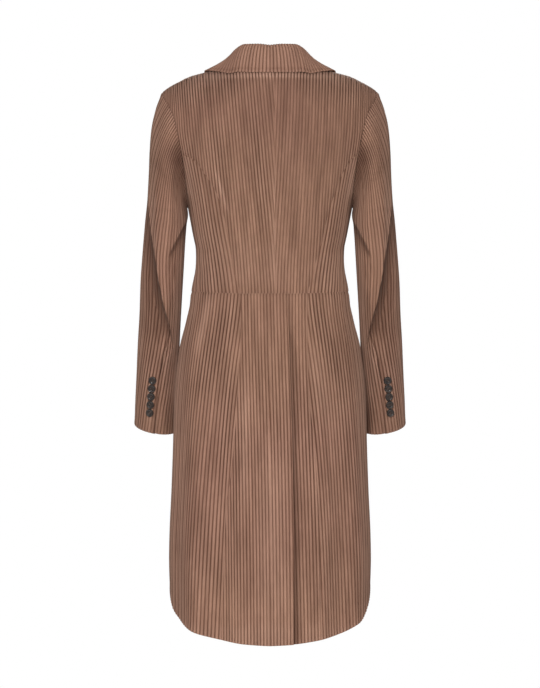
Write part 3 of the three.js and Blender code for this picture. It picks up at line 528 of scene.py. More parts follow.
def pile_material(name, cord=True, dark=1.0):
    m, nt, bsdf, nodes, links = new_material(name)
    coord = nodes.new("ShaderNodeTexCoord")
    uv = nodes.new("ShaderNodeUVMap")
    uv.uv_map = "grain"
    sep = nodes.new("ShaderNodeSeparateXYZ")
    links.new(uv.outputs["UV"], sep.inputs[0])

    def math_node(op, a, b=None, c=None):
        n = nodes.new("ShaderNodeMath")
        n.operation = op
        for i, v in enumerate((a, b, c)):
            if v is None:
                continue
            if isinstance(v, (int, float)):
                n.inputs[i].default_value = v
            else:
                links.new(v, n.inputs[i])
        return n.outputs[0]

    def noise(scale, detail=3.0, rough=0.55, vector=None, distortion=0.0):
        n = nodes.new("ShaderNodeTexNoise")
        n.inputs["Scale"].default_value = scale
        n.inputs["Detail"].default_value = detail
        n.inputs["Roughness"].default_value = rough
        n.inputs["Distortion"].default_value = distortion
        links.new(vector if vector is not None else coord.outputs["Object"], n.inputs["Vector"])
        return n.outputs["Fac"]

    def ramp(fac, stops):
        n = nodes.new("ShaderNodeValToRGB")
        while len(n.color_ramp.elements) < len(stops):
            n.color_ramp.elements.new(0.5)
        for e, (p, c) in zip(n.color_ramp.elements, stops):
            e.position, e.color = p, (*c, 1)
        links.new(fac, n.inputs[0])
        return n.outputs[0]

    def blend(kind, fac, a, b):
        n = nodes.new("ShaderNodeMix")
        n.data_type = "RGBA"
        n.blend_type = kind
        if isinstance(fac, (int, float)):
            n.inputs["Factor"].default_value = fac
        else:
            links.new(fac, n.inputs["Factor"])
        for socket, v in ((n.inputs[6], a), (n.inputs[7], b)):
            if isinstance(v, tuple):
                socket.default_value = (*v, 1)
            else:
                links.new(v, socket)
        return n.outputs[2]
    # how far from the groove: 0 in it, 1 on the crown of the cord
    frac = math_node("FRACT", sep.outputs[0])
    crown = math_node("SUBTRACT", 1.0, math_node("POWER", math_node("ABSOLUTE", math_node("SUBTRACT", math_node("MULTIPLY", frac, 2.0), 1.0)), 2.2))
    # streaks of pile laid along the cord, and each cord a little different
    stretch = nodes.new("ShaderNodeCombineXYZ")
    links.new(math_node("MULTIPLY", sep.outputs[0], 2.6), stretch.inputs[0])
    links.new(math_node("MULTIPLY", sep.outputs[1], 5.0), stretch.inputs[1])
    streak = noise(1.0, 4.0, 0.6, stretch.outputs[0])
    wide = nodes.new("ShaderNodeCombineXYZ")
    links.new(math_node("MULTIPLY", sep.outputs[0], 0.42), wide.inputs[0])
    links.new(math_node("MULTIPLY", sep.outputs[1], 0.9), wide.inputs[1])
    bands = noise(1.0, 3.0, 0.6, wide.outputs[0])
    each = nodes.new("ShaderNodeCombineXYZ")
    links.new(math_node("FLOOR", sep.outputs[0]), each.inputs[0])
    links.new(math_node("MULTIPLY", sep.outputs[1], 0.35), each.inputs[1])
    single = noise(1.7, 1.0, 0.5, each.outputs[0])
    blotch = noise(6.5, 2.0, 0.5)
    cloudy = noise(9.0, 4.0, 0.6)
    warm = noise(4.2, 3.0, 0.5)
    fuzz = noise(900.0, 2.0, 0.7)
    tone = nodes.new("ShaderNodeUVMap")
    tone.uv_map = "tone"
    tones = nodes.new("ShaderNodeSeparateXYZ")
    links.new(tone.outputs["UV"], tones.inputs[0])
    low, mid, top = (0.172, 0.073, 0.044), (0.296, 0.157, 0.106), (0.398, 0.236, 0.171)
    uneven = ramp(blotch, [(0.30, (0.25, 0.25, 0.25)), (0.70, (1.0, 1.0, 1.0))])
    if cord:
        # the crown-to-groove ramp is the cord's own colour; its contrast is set by tone v, the painted groove shade
        keen = math_node("ADD", math_node("MULTIPLY", tones.outputs[1], 0.74), math_node("MULTIPLY", uneven, 0.38))
        flat_crown = math_node("ADD", 0.70, math_node("MULTIPLY", math_node("SUBTRACT", crown, 0.70), math_node("MINIMUM", keen, 1.0)))
    colour = ramp(flat_crown if cord else streak, [(0.0, low), (0.45, mid), (1.0, top)] if cord else [(0.25, (0.15, 0.08, 0.058)), (0.8, (0.21, 0.118, 0.085))])
    colour = blend("MULTIPLY", 0.55, colour, ramp(cloudy, [(0.30, (0.72, 0.70, 0.70)), (0.70, (1.0, 1.0, 1.0))]))
    colour = blend("MULTIPLY", 0.40, colour, ramp(streak, [(0.25, (0.66, 0.64, 0.63)), (0.75, (1.0, 1.0, 1.0))]))
    colour = blend("MULTIPLY", 0.62, colour, ramp(bands, [(0.34, (0.66, 0.63, 0.62)), (0.62, (1.0, 1.0, 1.0))]))
    if cord:
        colour = blend("MULTIPLY", 0.55, colour, ramp(single, [(0.36, (0.72, 0.70, 0.69)), (0.60, (1.0, 1.0, 1.0))]))
    colour = blend("SOFT_LIGHT", 0.35, colour, ramp(warm, [(0.35, (0.54, 0.48, 0.49)), (0.65, (0.53, 0.52, 0.46))]))
    colour = blend("MULTIPLY", 0.5, colour, ramp(fuzz, [(0.2, (0.62, 0.60, 0.60)), (0.8, (1.0, 1.0, 1.0))]))
    if cord:
        gap = math_node("POWER", math_node("SUBTRACT", 1.0, crown), 1.15)
        strength = math_node("MINIMUM", math_node("ADD", math_node("MULTIPLY", tones.outputs[1], 0.76), math_node("MULTIPLY", uneven, 0.16)), 0.97)
        groove_shade_paint = math_node("MULTIPLY", gap, strength)
        # painted shade in the grooves, strongest where tone v says the cloth turns away
        colour = blend("MIX", groove_shade_paint, colour, (0.045, 0.018, 0.012))
        # painted shade on every other cord and a painted highlight on the rest where the cloth turns away, as cords
        # pushed together in pairs look
        pair = math_node("ABSOLUTE", math_node("SUBTRACT", math_node("MULTIPLY", math_node("FRACT", math_node("MULTIPLY", sep.outputs[0], 0.5)), 2.0), 1.0))
        paired_shade = math_node("MULTIPLY", math_node("POWER", pair, 2.4), math_node("MINIMUM", math_node("MAXIMUM", math_node("MULTIPLY", math_node("SUBTRACT", tones.outputs[1], 1.1), 2.2), 0.0), 0.66))
        colour = blend("MIX", paired_shade, colour, (0.060, 0.027, 0.018))
        colour = blend("MIX", math_node("MULTIPLY", math_node("POWER", math_node("SUBTRACT", 1.0, pair), 1.5), math_node("MULTIPLY", math_node("MINIMUM", math_node("MAXIMUM", math_node("SUBTRACT", tones.outputs[1], 1.1), 0.0), 0.3), 1.2)), colour, (0.50, 0.31, 0.23))
        # painted shade from tone u, and a painted highlight on the cord crowns where tone u is below zero
        colour = blend("MIX", math_node("MULTIPLY", math_node("MAXIMUM", tones.outputs[0], 0.0), 0.80), colour, (0.058, 0.025, 0.016))
        light = math_node("MULTIPLY", math_node("MAXIMUM", math_node("MULTIPLY", tones.outputs[0], -1.0), 0.0), math_node("MULTIPLY", flat_crown, 0.95))
        colour = blend("MIX", light, colour, (0.50, 0.31, 0.23))
    links.new(colour, bsdf.inputs["Base Color"])
    links.new(ramp(fuzz, [(0.0, (0.80, 0.80, 0.80)), (1.0, (0.97, 0.97, 0.97))]), bsdf.inputs["Roughness"])
    bsdf.inputs["Sheen Weight"].default_value = 0.05
    bsdf.inputs["Sheen Roughness"].default_value = 0.45
    bsdf.inputs["Sheen Tint"].default_value = (0.95, 0.74, 0.62, 1)
    bsdf.inputs["Specular IOR Level"].default_value = 0.08
    bump = nodes.new("ShaderNodeBump")
    bump.inputs["Strength"].default_value = 0.55
    bump.inputs["Distance"].default_value = 0.0006
    links.new(math_node("ADD", math_node("MULTIPLY", fuzz, 0.6), math_node("MULTIPLY", streak, 0.6)), bump.inputs["Height"])
    links.new(bump.outputs[0], bsdf.inputs["Normal"])
    return m


def horn_material(name):
    m, nt, bsdf, nodes, links = new_material(name)
    coord = nodes.new("ShaderNodeTexCoord")
    n = nodes.new("ShaderNodeTexNoise")
    n.inputs["Scale"].default_value = 160
    n.inputs["Detail"].default_value = 4
    n.inputs["Distortion"].default_value = 1.4
    links.new(coord.outputs["Object"], n.inputs["Vector"])
    r = nodes.new("ShaderNodeValToRGB")
    for e, (p, c) in zip(r.color_ramp.elements, [(0.3, (0.012, 0.009, 0.008)), (0.75, (0.050, 0.036, 0.030))]):
        e.position, e.color = p, (*c, 1)
    links.new(n.outputs["Fac"], r.inputs[0])
    links.new(r.outputs[0], bsdf.inputs["Base Color"])
    bsdf.inputs["Roughness"].default_value = 0.42
    bsdf.inputs["Coat Weight"].default_value = 0.12
    b = nodes.new("ShaderNodeBump")
    b.inputs["Strength"].default_value = 0.15
    b.inputs["Distance"].default_value = 0.0003
    links.new(n.outputs["Fac"], b.inputs["Height"])
    links.new(b.outputs[0], bsdf.inputs["Normal"])
    return m


def thread_material(name):
    m, nt, bsdf, nodes, links = new_material(name)
    coord = nodes.new("ShaderNodeTexCoord")
    n = nodes.new("ShaderNodeTexNoise")
    n.inputs["Scale"].default_value = 1500
    links.new(coord.outputs["Object"], n.inputs["Vector"])
    r = nodes.new("ShaderNodeValToRGB")
    for e, (p, c) in zip(r.color_ramp.elements, [(0.3, (0.06, 0.035, 0.025)), (0.7, (0.14, 0.085, 0.062))]):
        e.position, e.color = p, (*c, 1)
    links.new(n.outputs["Fac"], r.inputs[0])
    links.new(r.outputs[0], bsdf.inputs["Base Color"])
    bsdf.inputs["Roughness"].default_value = 0.85
    return m


PILE = pile_material("corduroy_pile")
BACKING = pile_material("corduroy_backing", cord=False)
HORN = horn_material("horn")
THREAD = thread_material("thread")

# ---- creases ---------------------------------------------------------------------------------
# the sleeve's long fold, where the cloth over the elbow hangs over the outer arm
FOLD_LINE = table("z x", [
    (-190, 227), (-213, 224), (-248, 221.5), (-283, 218), (-331, 211.5), (-370, 206.5), (-414, 198.5), (-450, 188.5),
    (-487, 180.5), (-515, 176)])
fold_x = column(FOLD_LINE, "z", "x")
# straight creases on the sleeve by their ends: depth pressed in, half width
SLEEVE_CREASES = table("x1 z1 x2 z2 depth width", [
    (226, -243, 178, -247, 1.6, 4.0), (222, -148, 186, -196, 1.4, 6), (170, -128, 184, -222, 2.8, 7),
    (212, -120, 200, -190, 1.2, 8), (176, -318, 190, -362, 1.8, 3.2), (168, -330, 181, -382, 1.3, 3.4),
    (183, -494, 204, -530, 3.4, 3.6), (204, -530, 211, -560, 2.2, 3.2), (176, -505, 199, -600, 2.4, 6.5),
    (236, -440, 216, -520, 2.2, 9), (246, -520, 236, -640, 1.6, 7), (180, -560, 189, -650, 1.8, 6),
    (226, -300, 221, -420, 1.4, 6), (232, -380, 214, -470, 1.5, 5)])
# soft creases of the back and the skirt, on each side by its own x
BACK_CREASES = table("x1 z1 x2 z2 depth width", [
    (50, -60, 40, -250, 1.5, 9), (98, -105, 78, -235, 1.7, 10), (132, -50, 143, -150, 1.9, 9), (24, -190, 18, -350, 0.9, 7),
    (118, -200, 104, -290, 1.6, 8), (76, -30, 84, -95, -1.0, 9), (-60, -50, -46, -230, 1.3, 10), (-108, -120, -84, -260, 1.8, 10),
    (-134, -60, -147, -160, 1.8, 9), (-32, -150, -26, -300, 1.0, 8), (-122, -215, -106, -300, 1.4, 8), (-88, -28, -80, -100, -1.0, 10),
    (110, -330, 134, -344, 0.9, 5), (-112, -338, -134, -350, 1.1, 5)])


def along_segment(px, pz, c):
    dx, dz = c["x2"] - c["x1"], c["z2"] - c["z1"]
    ln = math.hypot(dx, dz)
    t = ((px - c["x1"]) * dx + (pz - c["z1"]) * dz) / ln ** 2
    d = ((px - c["x1"]) * dz - (pz - c["z1"]) * dx) / ln
    end = bell(np.maximum(0, np.maximum(-t, t - 1)) * ln / (c["width"] * 1.8))
    mid = np.clip(t, 0, 1)
    return d, end * (0.5 + 0.5 * np.sin(math.pi * mid))


def creases(p, rows_of):
    total = np.zeros(p.shape[:-1])
    for c in rows_of:
        d, strength = along_segment(p[..., 0], p[..., 2], c)
        total -= c["depth"] * bell(d / c["width"]) * strength
    return total


def sleeve_fall(p, row):
    """How far the folds move a point of the sleeve's back towards the back."""
    x, z = p[..., 0], p[..., 2]
    behind = ease((p[..., 1] - arm["cy"](row)) / arm["deep"](row), -0.15, 0.3)
    d = (x - fold_x(z)) * 0.96
    on = ease(-z, 196, 250) * (1 - ease(-z, 468, 512))
    over = 3.6 * np.where(d < 0, np.exp(np.minimum(d, 0) / 20), np.exp(-np.maximum(d, 0) / 1.5))
    far = np.maximum(d, 0)
    under = -(0.35 * (1 - np.exp(-far / 1.2)) + 0.65 * (1 - np.exp(-far / 7))) * np.exp(-np.maximum(far - 14, 0) / 30)
    fall = on * (over + under * mix(14, 24, ease(-z, 240, 400)))
    # the elbow's inner crease: cloth above it hangs over the cloth below
    x1, z1, x2, z2 = 152, -257, 188, -331
    ln = math.hypot(x2 - x1, z2 - z1)
    t = ((x - x1) * (x2 - x1) + (z - z1) * (z2 - z1)) / ln ** 2
    e = ((x - x1) * (z2 - z1) - (z - z1) * (x2 - x1)) / ln    # below the line is positive
    end = 1 - ease(t, 0.80, 1.08)
    lip = 2.6 * np.where(e < 0, np.exp(np.minimum(e, 0) / 14), np.exp(-np.maximum(e, 0) / 1.3))
    deep_e = np.maximum(e, 0)
    pit = -15.0 * (0.4 * (1 - np.exp(-deep_e / 1.2)) + 0.6 * (1 - np.exp(-deep_e / 5))) * np.exp(-np.maximum(deep_e - 5, 0) / mix(22, 9, np.clip(t, 0, 1)))
    fall = fall + end * (lip + pit) * ease(-z, 236, 262)
    fall = fall + 2.6 * bell((z + 100) / 34) * (1 - arm["arm"](row)) - 2.2 * bell((z + 190) / 30)
    return behind * (fall + creases(p, SLEEVE_CREASES))


def sleeve_shade(deg, row, p):
    """Painted shade where the sleeve lies under its folds, in its creases, over the cap and by the armhole, with a
    painted shadow and a painted highlight along the cuff slit.
    """
    q = sleeve(deg, row)
    x, z = q[..., 0], q[..., 2]
    behind = ease((q[..., 1] - arm["cy"](row)) / arm["deep"](row), -0.1, 0.35)
    d = (x - fold_x(z)) * 0.96
    on = ease(-z, 200, 262) * (1 - ease(-z, 462, 505))
    band = on * np.where(d > 0, np.exp(-np.maximum(d, 0) / 24), 0) * 0.97
    x1, z1, x2, z2 = 152, -257, 188, -331
    ln = math.hypot(x2 - x1, z2 - z1)
    t = ((x - x1) * (x2 - x1) + (z - z1) * (z2 - z1)) / ln ** 2
    e = ((x - x1) * (z2 - z1) - (z - z1) * (x2 - x1)) / ln
    pit = (1 - ease(t, 0.80, 1.08)) * np.where(e > 0, np.exp(-(np.maximum(e, 0) / mix(26, 8, np.clip(t, 0, 1))) ** 1.4), 0) * 0.70 * ease(-z, 236, 262)
    cap = 0.16 * bell((z + 165) / 30) * (1 - arm["arm"](row))
    side_edge = 0.5 * bell((x - 163) / 12) * bell((z + 165) / 62)
    small = -0.09 * creases(q, SLEEVE_CREASES)
    inner_side = ease((q[..., 1] - arm["cy"](row)) / arm["deep"](row), -0.8, -0.2)
    off = (deg - line["hind"](row)) * 0.78
    slit = ease(row + 0 * x, 9.9, 10.5) * np.where(off < 0.3, 0.95 * np.exp(-(np.abs(off) / 2.6) ** 1.5), -0.45 * np.exp(-off / 3.0)) * (np.abs(off) < 30)
    return slit + inner_side * np.clip(pit, 0, 1) + (1 - np.clip(pit, 0, 1)) * behind * np.clip(band + cap + side_edge + np.maximum(small, 0), 0, 1)


def draped_sleeve(deg, row):
    p = sleeve(deg, row)
    p[..., 1] += sleeve_fall(p, np.broadcast_to(row, p.shape[:-1]))
    p[..., 0] += 2.6 * ease(p[..., 0], 204, 220) * (1 - ease(-p[..., 2], 360, 450)) - 4.6 * bell((p[..., 2] + 250) / 17) * ease(166 - p[..., 0], 0, 14)
    return p


def draped_sleeve_normal(deg, row):
    a = draped_sleeve(deg + 0.5, row) - draped_sleeve(deg - 0.5, row)
    b = draped_sleeve(deg, np.minimum(row + 0.02, 14)) - draped_sleeve(deg, np.maximum(row - 0.02, 0))
    return unit(np.cross(b, a))


# ---- the jacket's pieces ------------------------------------------------------------------------
def rows(t0, t1, step=ROW):
    return np.linspace(t0, t1, max(2, int(round(abs(t1 - t0) / step)) + 1))


def gap_deg(z, mm=-0.25):
    return mm / half(z) / RAD


def seam_dip(d_edge, depth=0.9, reach=2.6):
    return -depth * bell(d_edge / reach)


PIECES = {}


def keep(ob, *nodes):
    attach(ob, "root")
    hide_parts(*nodes)
    PIECES[ob.name] = ob
    return ob


def top_of(back):
    def f(a, side_x=None):
        a = np.asarray(a, float)
        z = np.zeros_like(a)
        for _ in range(14):
            x = np.abs(body(a, z, folds=False)[..., 0])
            goal = np.where((x < NECK_X) & back, NECK_BACK_Z + (NECK_SIDE_Z - NECK_BACK_Z) * (x / NECK_X) ** 2, crest(x))
            z = mix(z, goal, 0.7)
        return z
    return f


CROWN_ROWS = np.concatenate([rows(-400, -60), [-52, -44, -36, -29, -23, -17, -11, -6, -2, 2, 6, 10, 13, 16, 19, 21.5, 24, 26, 27.5, 29]])

for side in (1, -1):
    w = WORD[side]
    seam_deg = abs(float(deg_at(side_back[side](-396), -396)))

    # back: from the centre-back seam to the armhole and the side-back seam
    def centre(z, side=side):
        return deg_at(side * CENTRE_BACK_X * np.ones_like(z), z) + gap_deg(z)

    def back_edge(z, side=side):
        armhole = deg_at(arm_back(z), z) - gap_deg(z) * (3.2 + 3 * bell((z + 118) / 26))    # under the sleeve head
        seam = deg_at(side * side_back[side](z), z)
        return np.where(z > -141, armhole, seam) - gap_deg(z) * 1.6

    def back_relief(a, t, u, de, dl, dh, p, side=side):
        blade = 0.8 * bell((t + 150) / 60) * bell((a - 26) / 13)
        return seam_dip(de) - 0.5 * bell(dl / 3) + blade + creases(p * np.array([side, 1, 1]), BACK_CREASES)

    keep(cloth(f"back_cloth_{w}", BACK_CHART, CROWN_ROWS, lambda a, s=seam_deg: waist_z(np.clip(a, 0, s)) + WAIST_GAP, top_of(True),
               centre, back_edge, shift_from(f"back_{w}", 1), lambda a, t, s=side: body(a, t, folds=False), lambda a, t: body_normal(a, t),
               back_relief, side, seed=1 + (side < 0)), f"back_{w}")

    # side body
    def side_a(z, side=side):
        return deg_at(side * side_back[side](z), z) + gap_deg(z) * 1.6

    def side_b(z):
        return np.where(z > UNDERARM_Z, np.minimum(deg_at(arm_back(z), z) - gap_deg(z) * 4.4, SIDE_SEAM), SIDE_SEAM - gap_deg(z))

    keep(cloth(f"side_cloth_{w}", BACK_CHART, np.concatenate([rows(-400, -170), [-163, -157, -152, -148, SEAM_TOP_Z]]),
               lambda a, s=seam_deg: waist_z(np.maximum(a, 0)) + WAIST_GAP, None, side_a, side_b, shift_from("side", 1),
               lambda a, t: body(a, t, folds=False), lambda a, t: body_normal(a, t),
               lambda a, t, u, de, dl, dh, p: seam_dip(de) - 0.5 * bell(dl / 3) + 0.9 * bell((t + 340) / 9) * bell((a - 70) / 22) - 1.1 * bell((t + 318 - 0.15 * (a - 60)) / 8) * bell((a - 66) / 20),
               side, seed=3 + (side < 0), pitch=7.2), f"side_{w}")

    # front
    def lap(a, side=side):
        return 3.6 * ease(np.abs(a), 158, 170) if side > 0 else np.zeros_like(a)

    def front_a(z):
        return np.where(z > UNDERARM_Z, np.maximum(180 - np.abs(deg_at(arm_front(z), z)) + gap_deg(z) * 4.4, SIDE_SEAM), SIDE_SEAM + gap_deg(z))

    def front_b(z):
        return deg_front(roll_line(z), 1, z)

    def lapel_shade(a, t, p):
        d = np.abs(p[..., 0]) - lapel_line(t)
        return 0.8 * np.where(d > 0, np.exp(-(np.maximum(d, 0) / 5) ** 1.3), 1) * ease(-t, 20, 48) * (1 - ease(-t, 296, 308))

    keep(cloth(f"front_cloth_{w}", FRONT_CHART, CROWN_ROWS, lambda a: np.full(np.shape(a), WAIST_SIDE_Z + WAIST_GAP), top_of(False),
               front_a, front_b, lambda z: 0.0 * z, lambda a, t, lap=lap: body(a, t, lap(a), folds=False), lambda a, t: body_normal(a, t),
               lambda a, t, u, de, dl, dh, p: seam_dip(de) - 0.5 * bell(dl / 3) - 1.4 * bell((t + 352 + 0.5 * (172 - a)) / 7) * bell((a - 160) / 16)
               - 1.2 * bell((t + 335 + 0.9 * (172 - a)) / 7) * bell((a - 156) / 18), side, seed=5 + (side < 0), shade=lapel_shade), f"front_{w}")

    # lapel, lying on the front
    def lapel_point(a, t, lap=lap):
        x = np.abs(body(a, t, folds=False)[..., 0])
        f = np.clip((x - roll_line(t)) / np.maximum(lapel_line(t) - roll_line(t), 1), 0, 1)
        lift = WALL + GAP + 1.6 + (1.9 * np.sin(math.pi * np.minimum(1, f * 1.1)) + 1.6 * (1 - f)) * ease(t, -300, -200)
        return body(a, t, lap(a), folds=False) + body_normal(a, t) * lift[..., None]

    keep(cloth(f"lapel_cloth_{w}", FRONT_CHART, rows(-305, -21, 8),
               None, lambda a: mix(-21, -47, np.clip((np.abs(body(a, -40, folds=False)[..., 0]) - 64) / 60, 0, 1)),
               lambda z: deg_front(lapel_line(z), 1, z), lambda z: deg_front(roll_line(z) + 1.2, 1, z),
               lambda z: -0.16 * (z + 100), lapel_point, lambda a, t: body_normal(a, t),
               lambda a, t, u, de, dl, dh, p: -0.5 * bell(de / 2) - 0.5 * bell((de - 6) / 0.9), side, seed=7 + (side < 0)), f"lapel_{w}")

    # skirt back
    def skirt_in(z, side=side):
        return deg_at(side * (vent_edge(z) if side > 0 else vent_edge(z) + UNDERLAP), z)

    def skirt_out(z, side=side):
        return deg_at(side * skirt_seam[side](z), z) - gap_deg(z) * 1.6

    def skirt_lift(a, z, side=side):
        x = side * np.sign(a) * np.abs(body(a, z, folds=False)[..., 0])
        gape = ease(-z, 400, 560)
        return (3.2 + 3.4 * gape) * ease(-x, -40, -8) if side > 0 else -5.5 * gape * bell((x + 38) / 16)

    def skirt_point(a, t, lift=skirt_lift, side=side):
        p = body(side * a, t, lift(a, t) * 1.0)
        return p * np.array([side, 1, 1])

    def skirt_normal(a, t, side=side):
        return body_normal(side * a, t) * np.array([side, 1, 1])

    def skirt_relief(a, t, u, de, dl, dh, p, side=side):
        r = -0.9 * bell(de / 2.6) * (1 if side < 0 else np.where(a > 8, 1, 0.3)) - 1.3 * bell(dh / 4) + 0.6 * bell(dl / 5)
        return r - 0.6 * bell((dl - 34) / 1.6)

    def vent_shade(a, t, p, side=side):
        if side > 0:
            return 0 * t
        d = p[..., 0] + vent_edge(t)
        return 0.97 * np.where(d > 0, np.exp(-(np.maximum(d, 0) / mix(6.5, 10.5, ease(-t, 560, 900))) ** 1.5), 1) * ease(-t, 452, 484)

    keep(cloth(f"skirt_back_cloth_{w}", BACK_CHART, rows(-1048, -396),
               lambda a: hem_at(np.abs(a)), lambda a: waist_z(np.clip(np.abs(a), 0, 40)) - WAIST_GAP,
               skirt_in, skirt_out, shift_from(f"skirt_back_{w}", 1), skirt_point, skirt_normal, skirt_relief, side, seed=9 + (side < 0), shade=vent_shade), f"skirt_back_{w}")

    # skirt side and front
    far = 185.4 if side > 0 else 182.9

    def flank_point(a, t, lap=lap, side=side):
        return body(side * a, t, lap(a)) * np.array([side, 1, 1])

    keep(cloth(f"skirt_front_cloth_{w}", BACK_CHART, rows(-1036, -392),
               lambda a: hem_at(np.minimum(a, 178)), lambda a: waist_z(a) - WAIST_GAP,
               lambda z, side=side: deg_at(side * skirt_seam[side](z), z) + gap_deg(z) * 1.6, lambda z, far=far: np.full(np.shape(z), float(far)),
               shift_from("skirt_front", 1), flank_point, skirt_normal,
               lambda a, t, u, de, dl, dh, p: -0.9 * bell(de / 2.6) - 1.3 * bell(dh / 4) + 0.6 * bell(dl / 5), side, seed=11 + (side < 0), pitch=6.6), f"skirt_front_{w}")

    # sleeves
    def near_seam(r, f=0.45):
        return -0.25 / 45 / RAD + 0 * r

    def top_relief(a, t, u, de, dl, dh, p):
        vent = ease(t, 11.0, 11.6) * (a > 40)
        return mix(seam_dip(de, 0.8, 2.2), 1.3 * bell(de / 5), vent) + 0.5 * bell((14 - t) / 0.25)

    def under_relief(a, t, u, de, dl, dh, p):
        vent = ease(t, 11.0, 11.6) * (a < 160)
        return mix(seam_dip(de, 0.8, 2.2), -2.4 * bell(de / 8), vent) + 0.5 * bell((14 - t) / 0.25)

    def sleeve_shift(r):
        return np.interp(r, range(15), [0, -4, -9, -15, -21, -26, -28, -28, -25, -21.5, -21.5, -27, -34, -41, -46])

    SLEEVE_ROWS = np.linspace(0, 14, 100)
    keep(cloth(f"top_sleeve_cloth_{w}", SLEEVE_CHART, SLEEVE_ROWS, None, None,
               lambda r: line["fore"](r) - 360 + near_seam(r), lambda r: line["hind"](r) - near_seam(r), sleeve_shift,
               draped_sleeve, draped_sleeve_normal, top_relief, side, 13 + (side < 0), sleeve_normal, sleeve_shade, 6.5), f"top_sleeve_{w}")
    keep(cloth(f"under_sleeve_cloth_{w}", SLEEVE_CHART, SLEEVE_ROWS, None, None,
               lambda r: line["hind"](r) + near_seam(r), lambda r: line["fore"](r) - near_seam(r), sleeve_shift,
               draped_sleeve, draped_sleeve_normal, under_relief, side, 15 + (side < 0), sleeve_normal, sleeve_shade, 6.5), f"under_sleeve_{w}")

# ---- collar -------------------------------------------------------------------------------------
c_of = {n: column(COLLAR, "part", n) for n in ("sx", "sy", "sz", "fx", "fy", "fz", "ex", "ey")}


def height_at(x, y):
    lo, hi = crest(x) - 160, crest(x)
    for _ in range(30):
        m = (lo + hi) / 2
        yy = np.where(y < 0, body(deg_front(x, 1, m), m, folds=False)[..., 1], body(deg_at(x, m), m, folds=False)[..., 1])
        lo, hi = np.where(np.abs(yy) > np.abs(y), m, lo), np.where(np.abs(yy) > np.abs(y), hi, m)
    return lo


def collar_profile(g):
    """Ten points from the leaf's edge over the fold to the foot of the stand."""
    part, sgn = np.abs(g), np.where(g < 0, -1.0, 1.0)
    s = np.stack([c_of["sx"](part), c_of["sy"](part), c_of["sz"](part)], -1)
    top = np.stack([c_of["fx"](part), c_of["fy"](part), c_of["fz"](part)], -1)
    ex, ey = c_of["ex"](part), c_of["ey"](part)
    ez = height_at(ex, ey)
    e = np.stack([ex, ey, ez], -1)
    on = body_normal(np.where(ey < 0, deg_front(ex, 1, ez), deg_at(ex, ez)), ez)
    e = e + on * (WALL + 1.7)
    away = unit((e - top) * np.array([1, 1, 0]))
    k = mix(0.5, 0.2, ease(part, 1.6, 3.6))[..., None]
    drop = mix(0, 0.3, ease(part, 1.6, 3.6))
    ctrl = np.concatenate([mix(top, e, k)[..., :2], mix(top[..., 2], e[..., 2], drop)[..., None]], -1) + away
    inward = unit(-top * np.array([1, 1, 0]))
    out = [top * (1 - t) ** 2 + ctrl * 2 * t * (1 - t) + e * t * t for t in (1, 0.8, 0.6, 0.4, 0.2, 0.07)]
    out.append(top + inward * 0.6)
    out.append(top + inward * 5 + np.array([0, 0, -2.6]))
    out.append(mix(top, s, 0.35) + inward * 6)
    out.append(s + inward * 4.4 + np.array([0, 0, 2]))
    p = np.stack(out, -2)
    p[..., 0] *= sgn[..., None]
    return p


def smooth_rows(p, n):
    """A smooth curve through the points along the second last axis, evenly spaced."""
    m = p.shape[-2]
    d = np.linalg.norm(np.diff(p, axis=-2), axis=-1).mean(axis=0)
    s = np.concatenate([[0], np.cumsum(d)])
    v = np.linspace(0, s[-1], n)
    i = np.clip(np.searchsorted(s, v, side="right") - 1, 0, m - 2)
    t = ((v - s[i]) / (s[i + 1] - s[i]))[:, None]
    h = (s[i + 1] - s[i])[:, None]
    g = np.gradient(p, s, axis=-2)
    a, b = p[..., i, :], p[..., i + 1, :]
    ga, gb = g[..., i, :], g[..., i + 1, :]
    t2, t3 = t * t, t ** 3
    return a * (2 * t3 - 3 * t2 + 1) + ga * h * (t3 - 2 * t2 + t) + b * (3 * t2 - 2 * t3) + gb * h * (t3 - t2), v, s[-1]


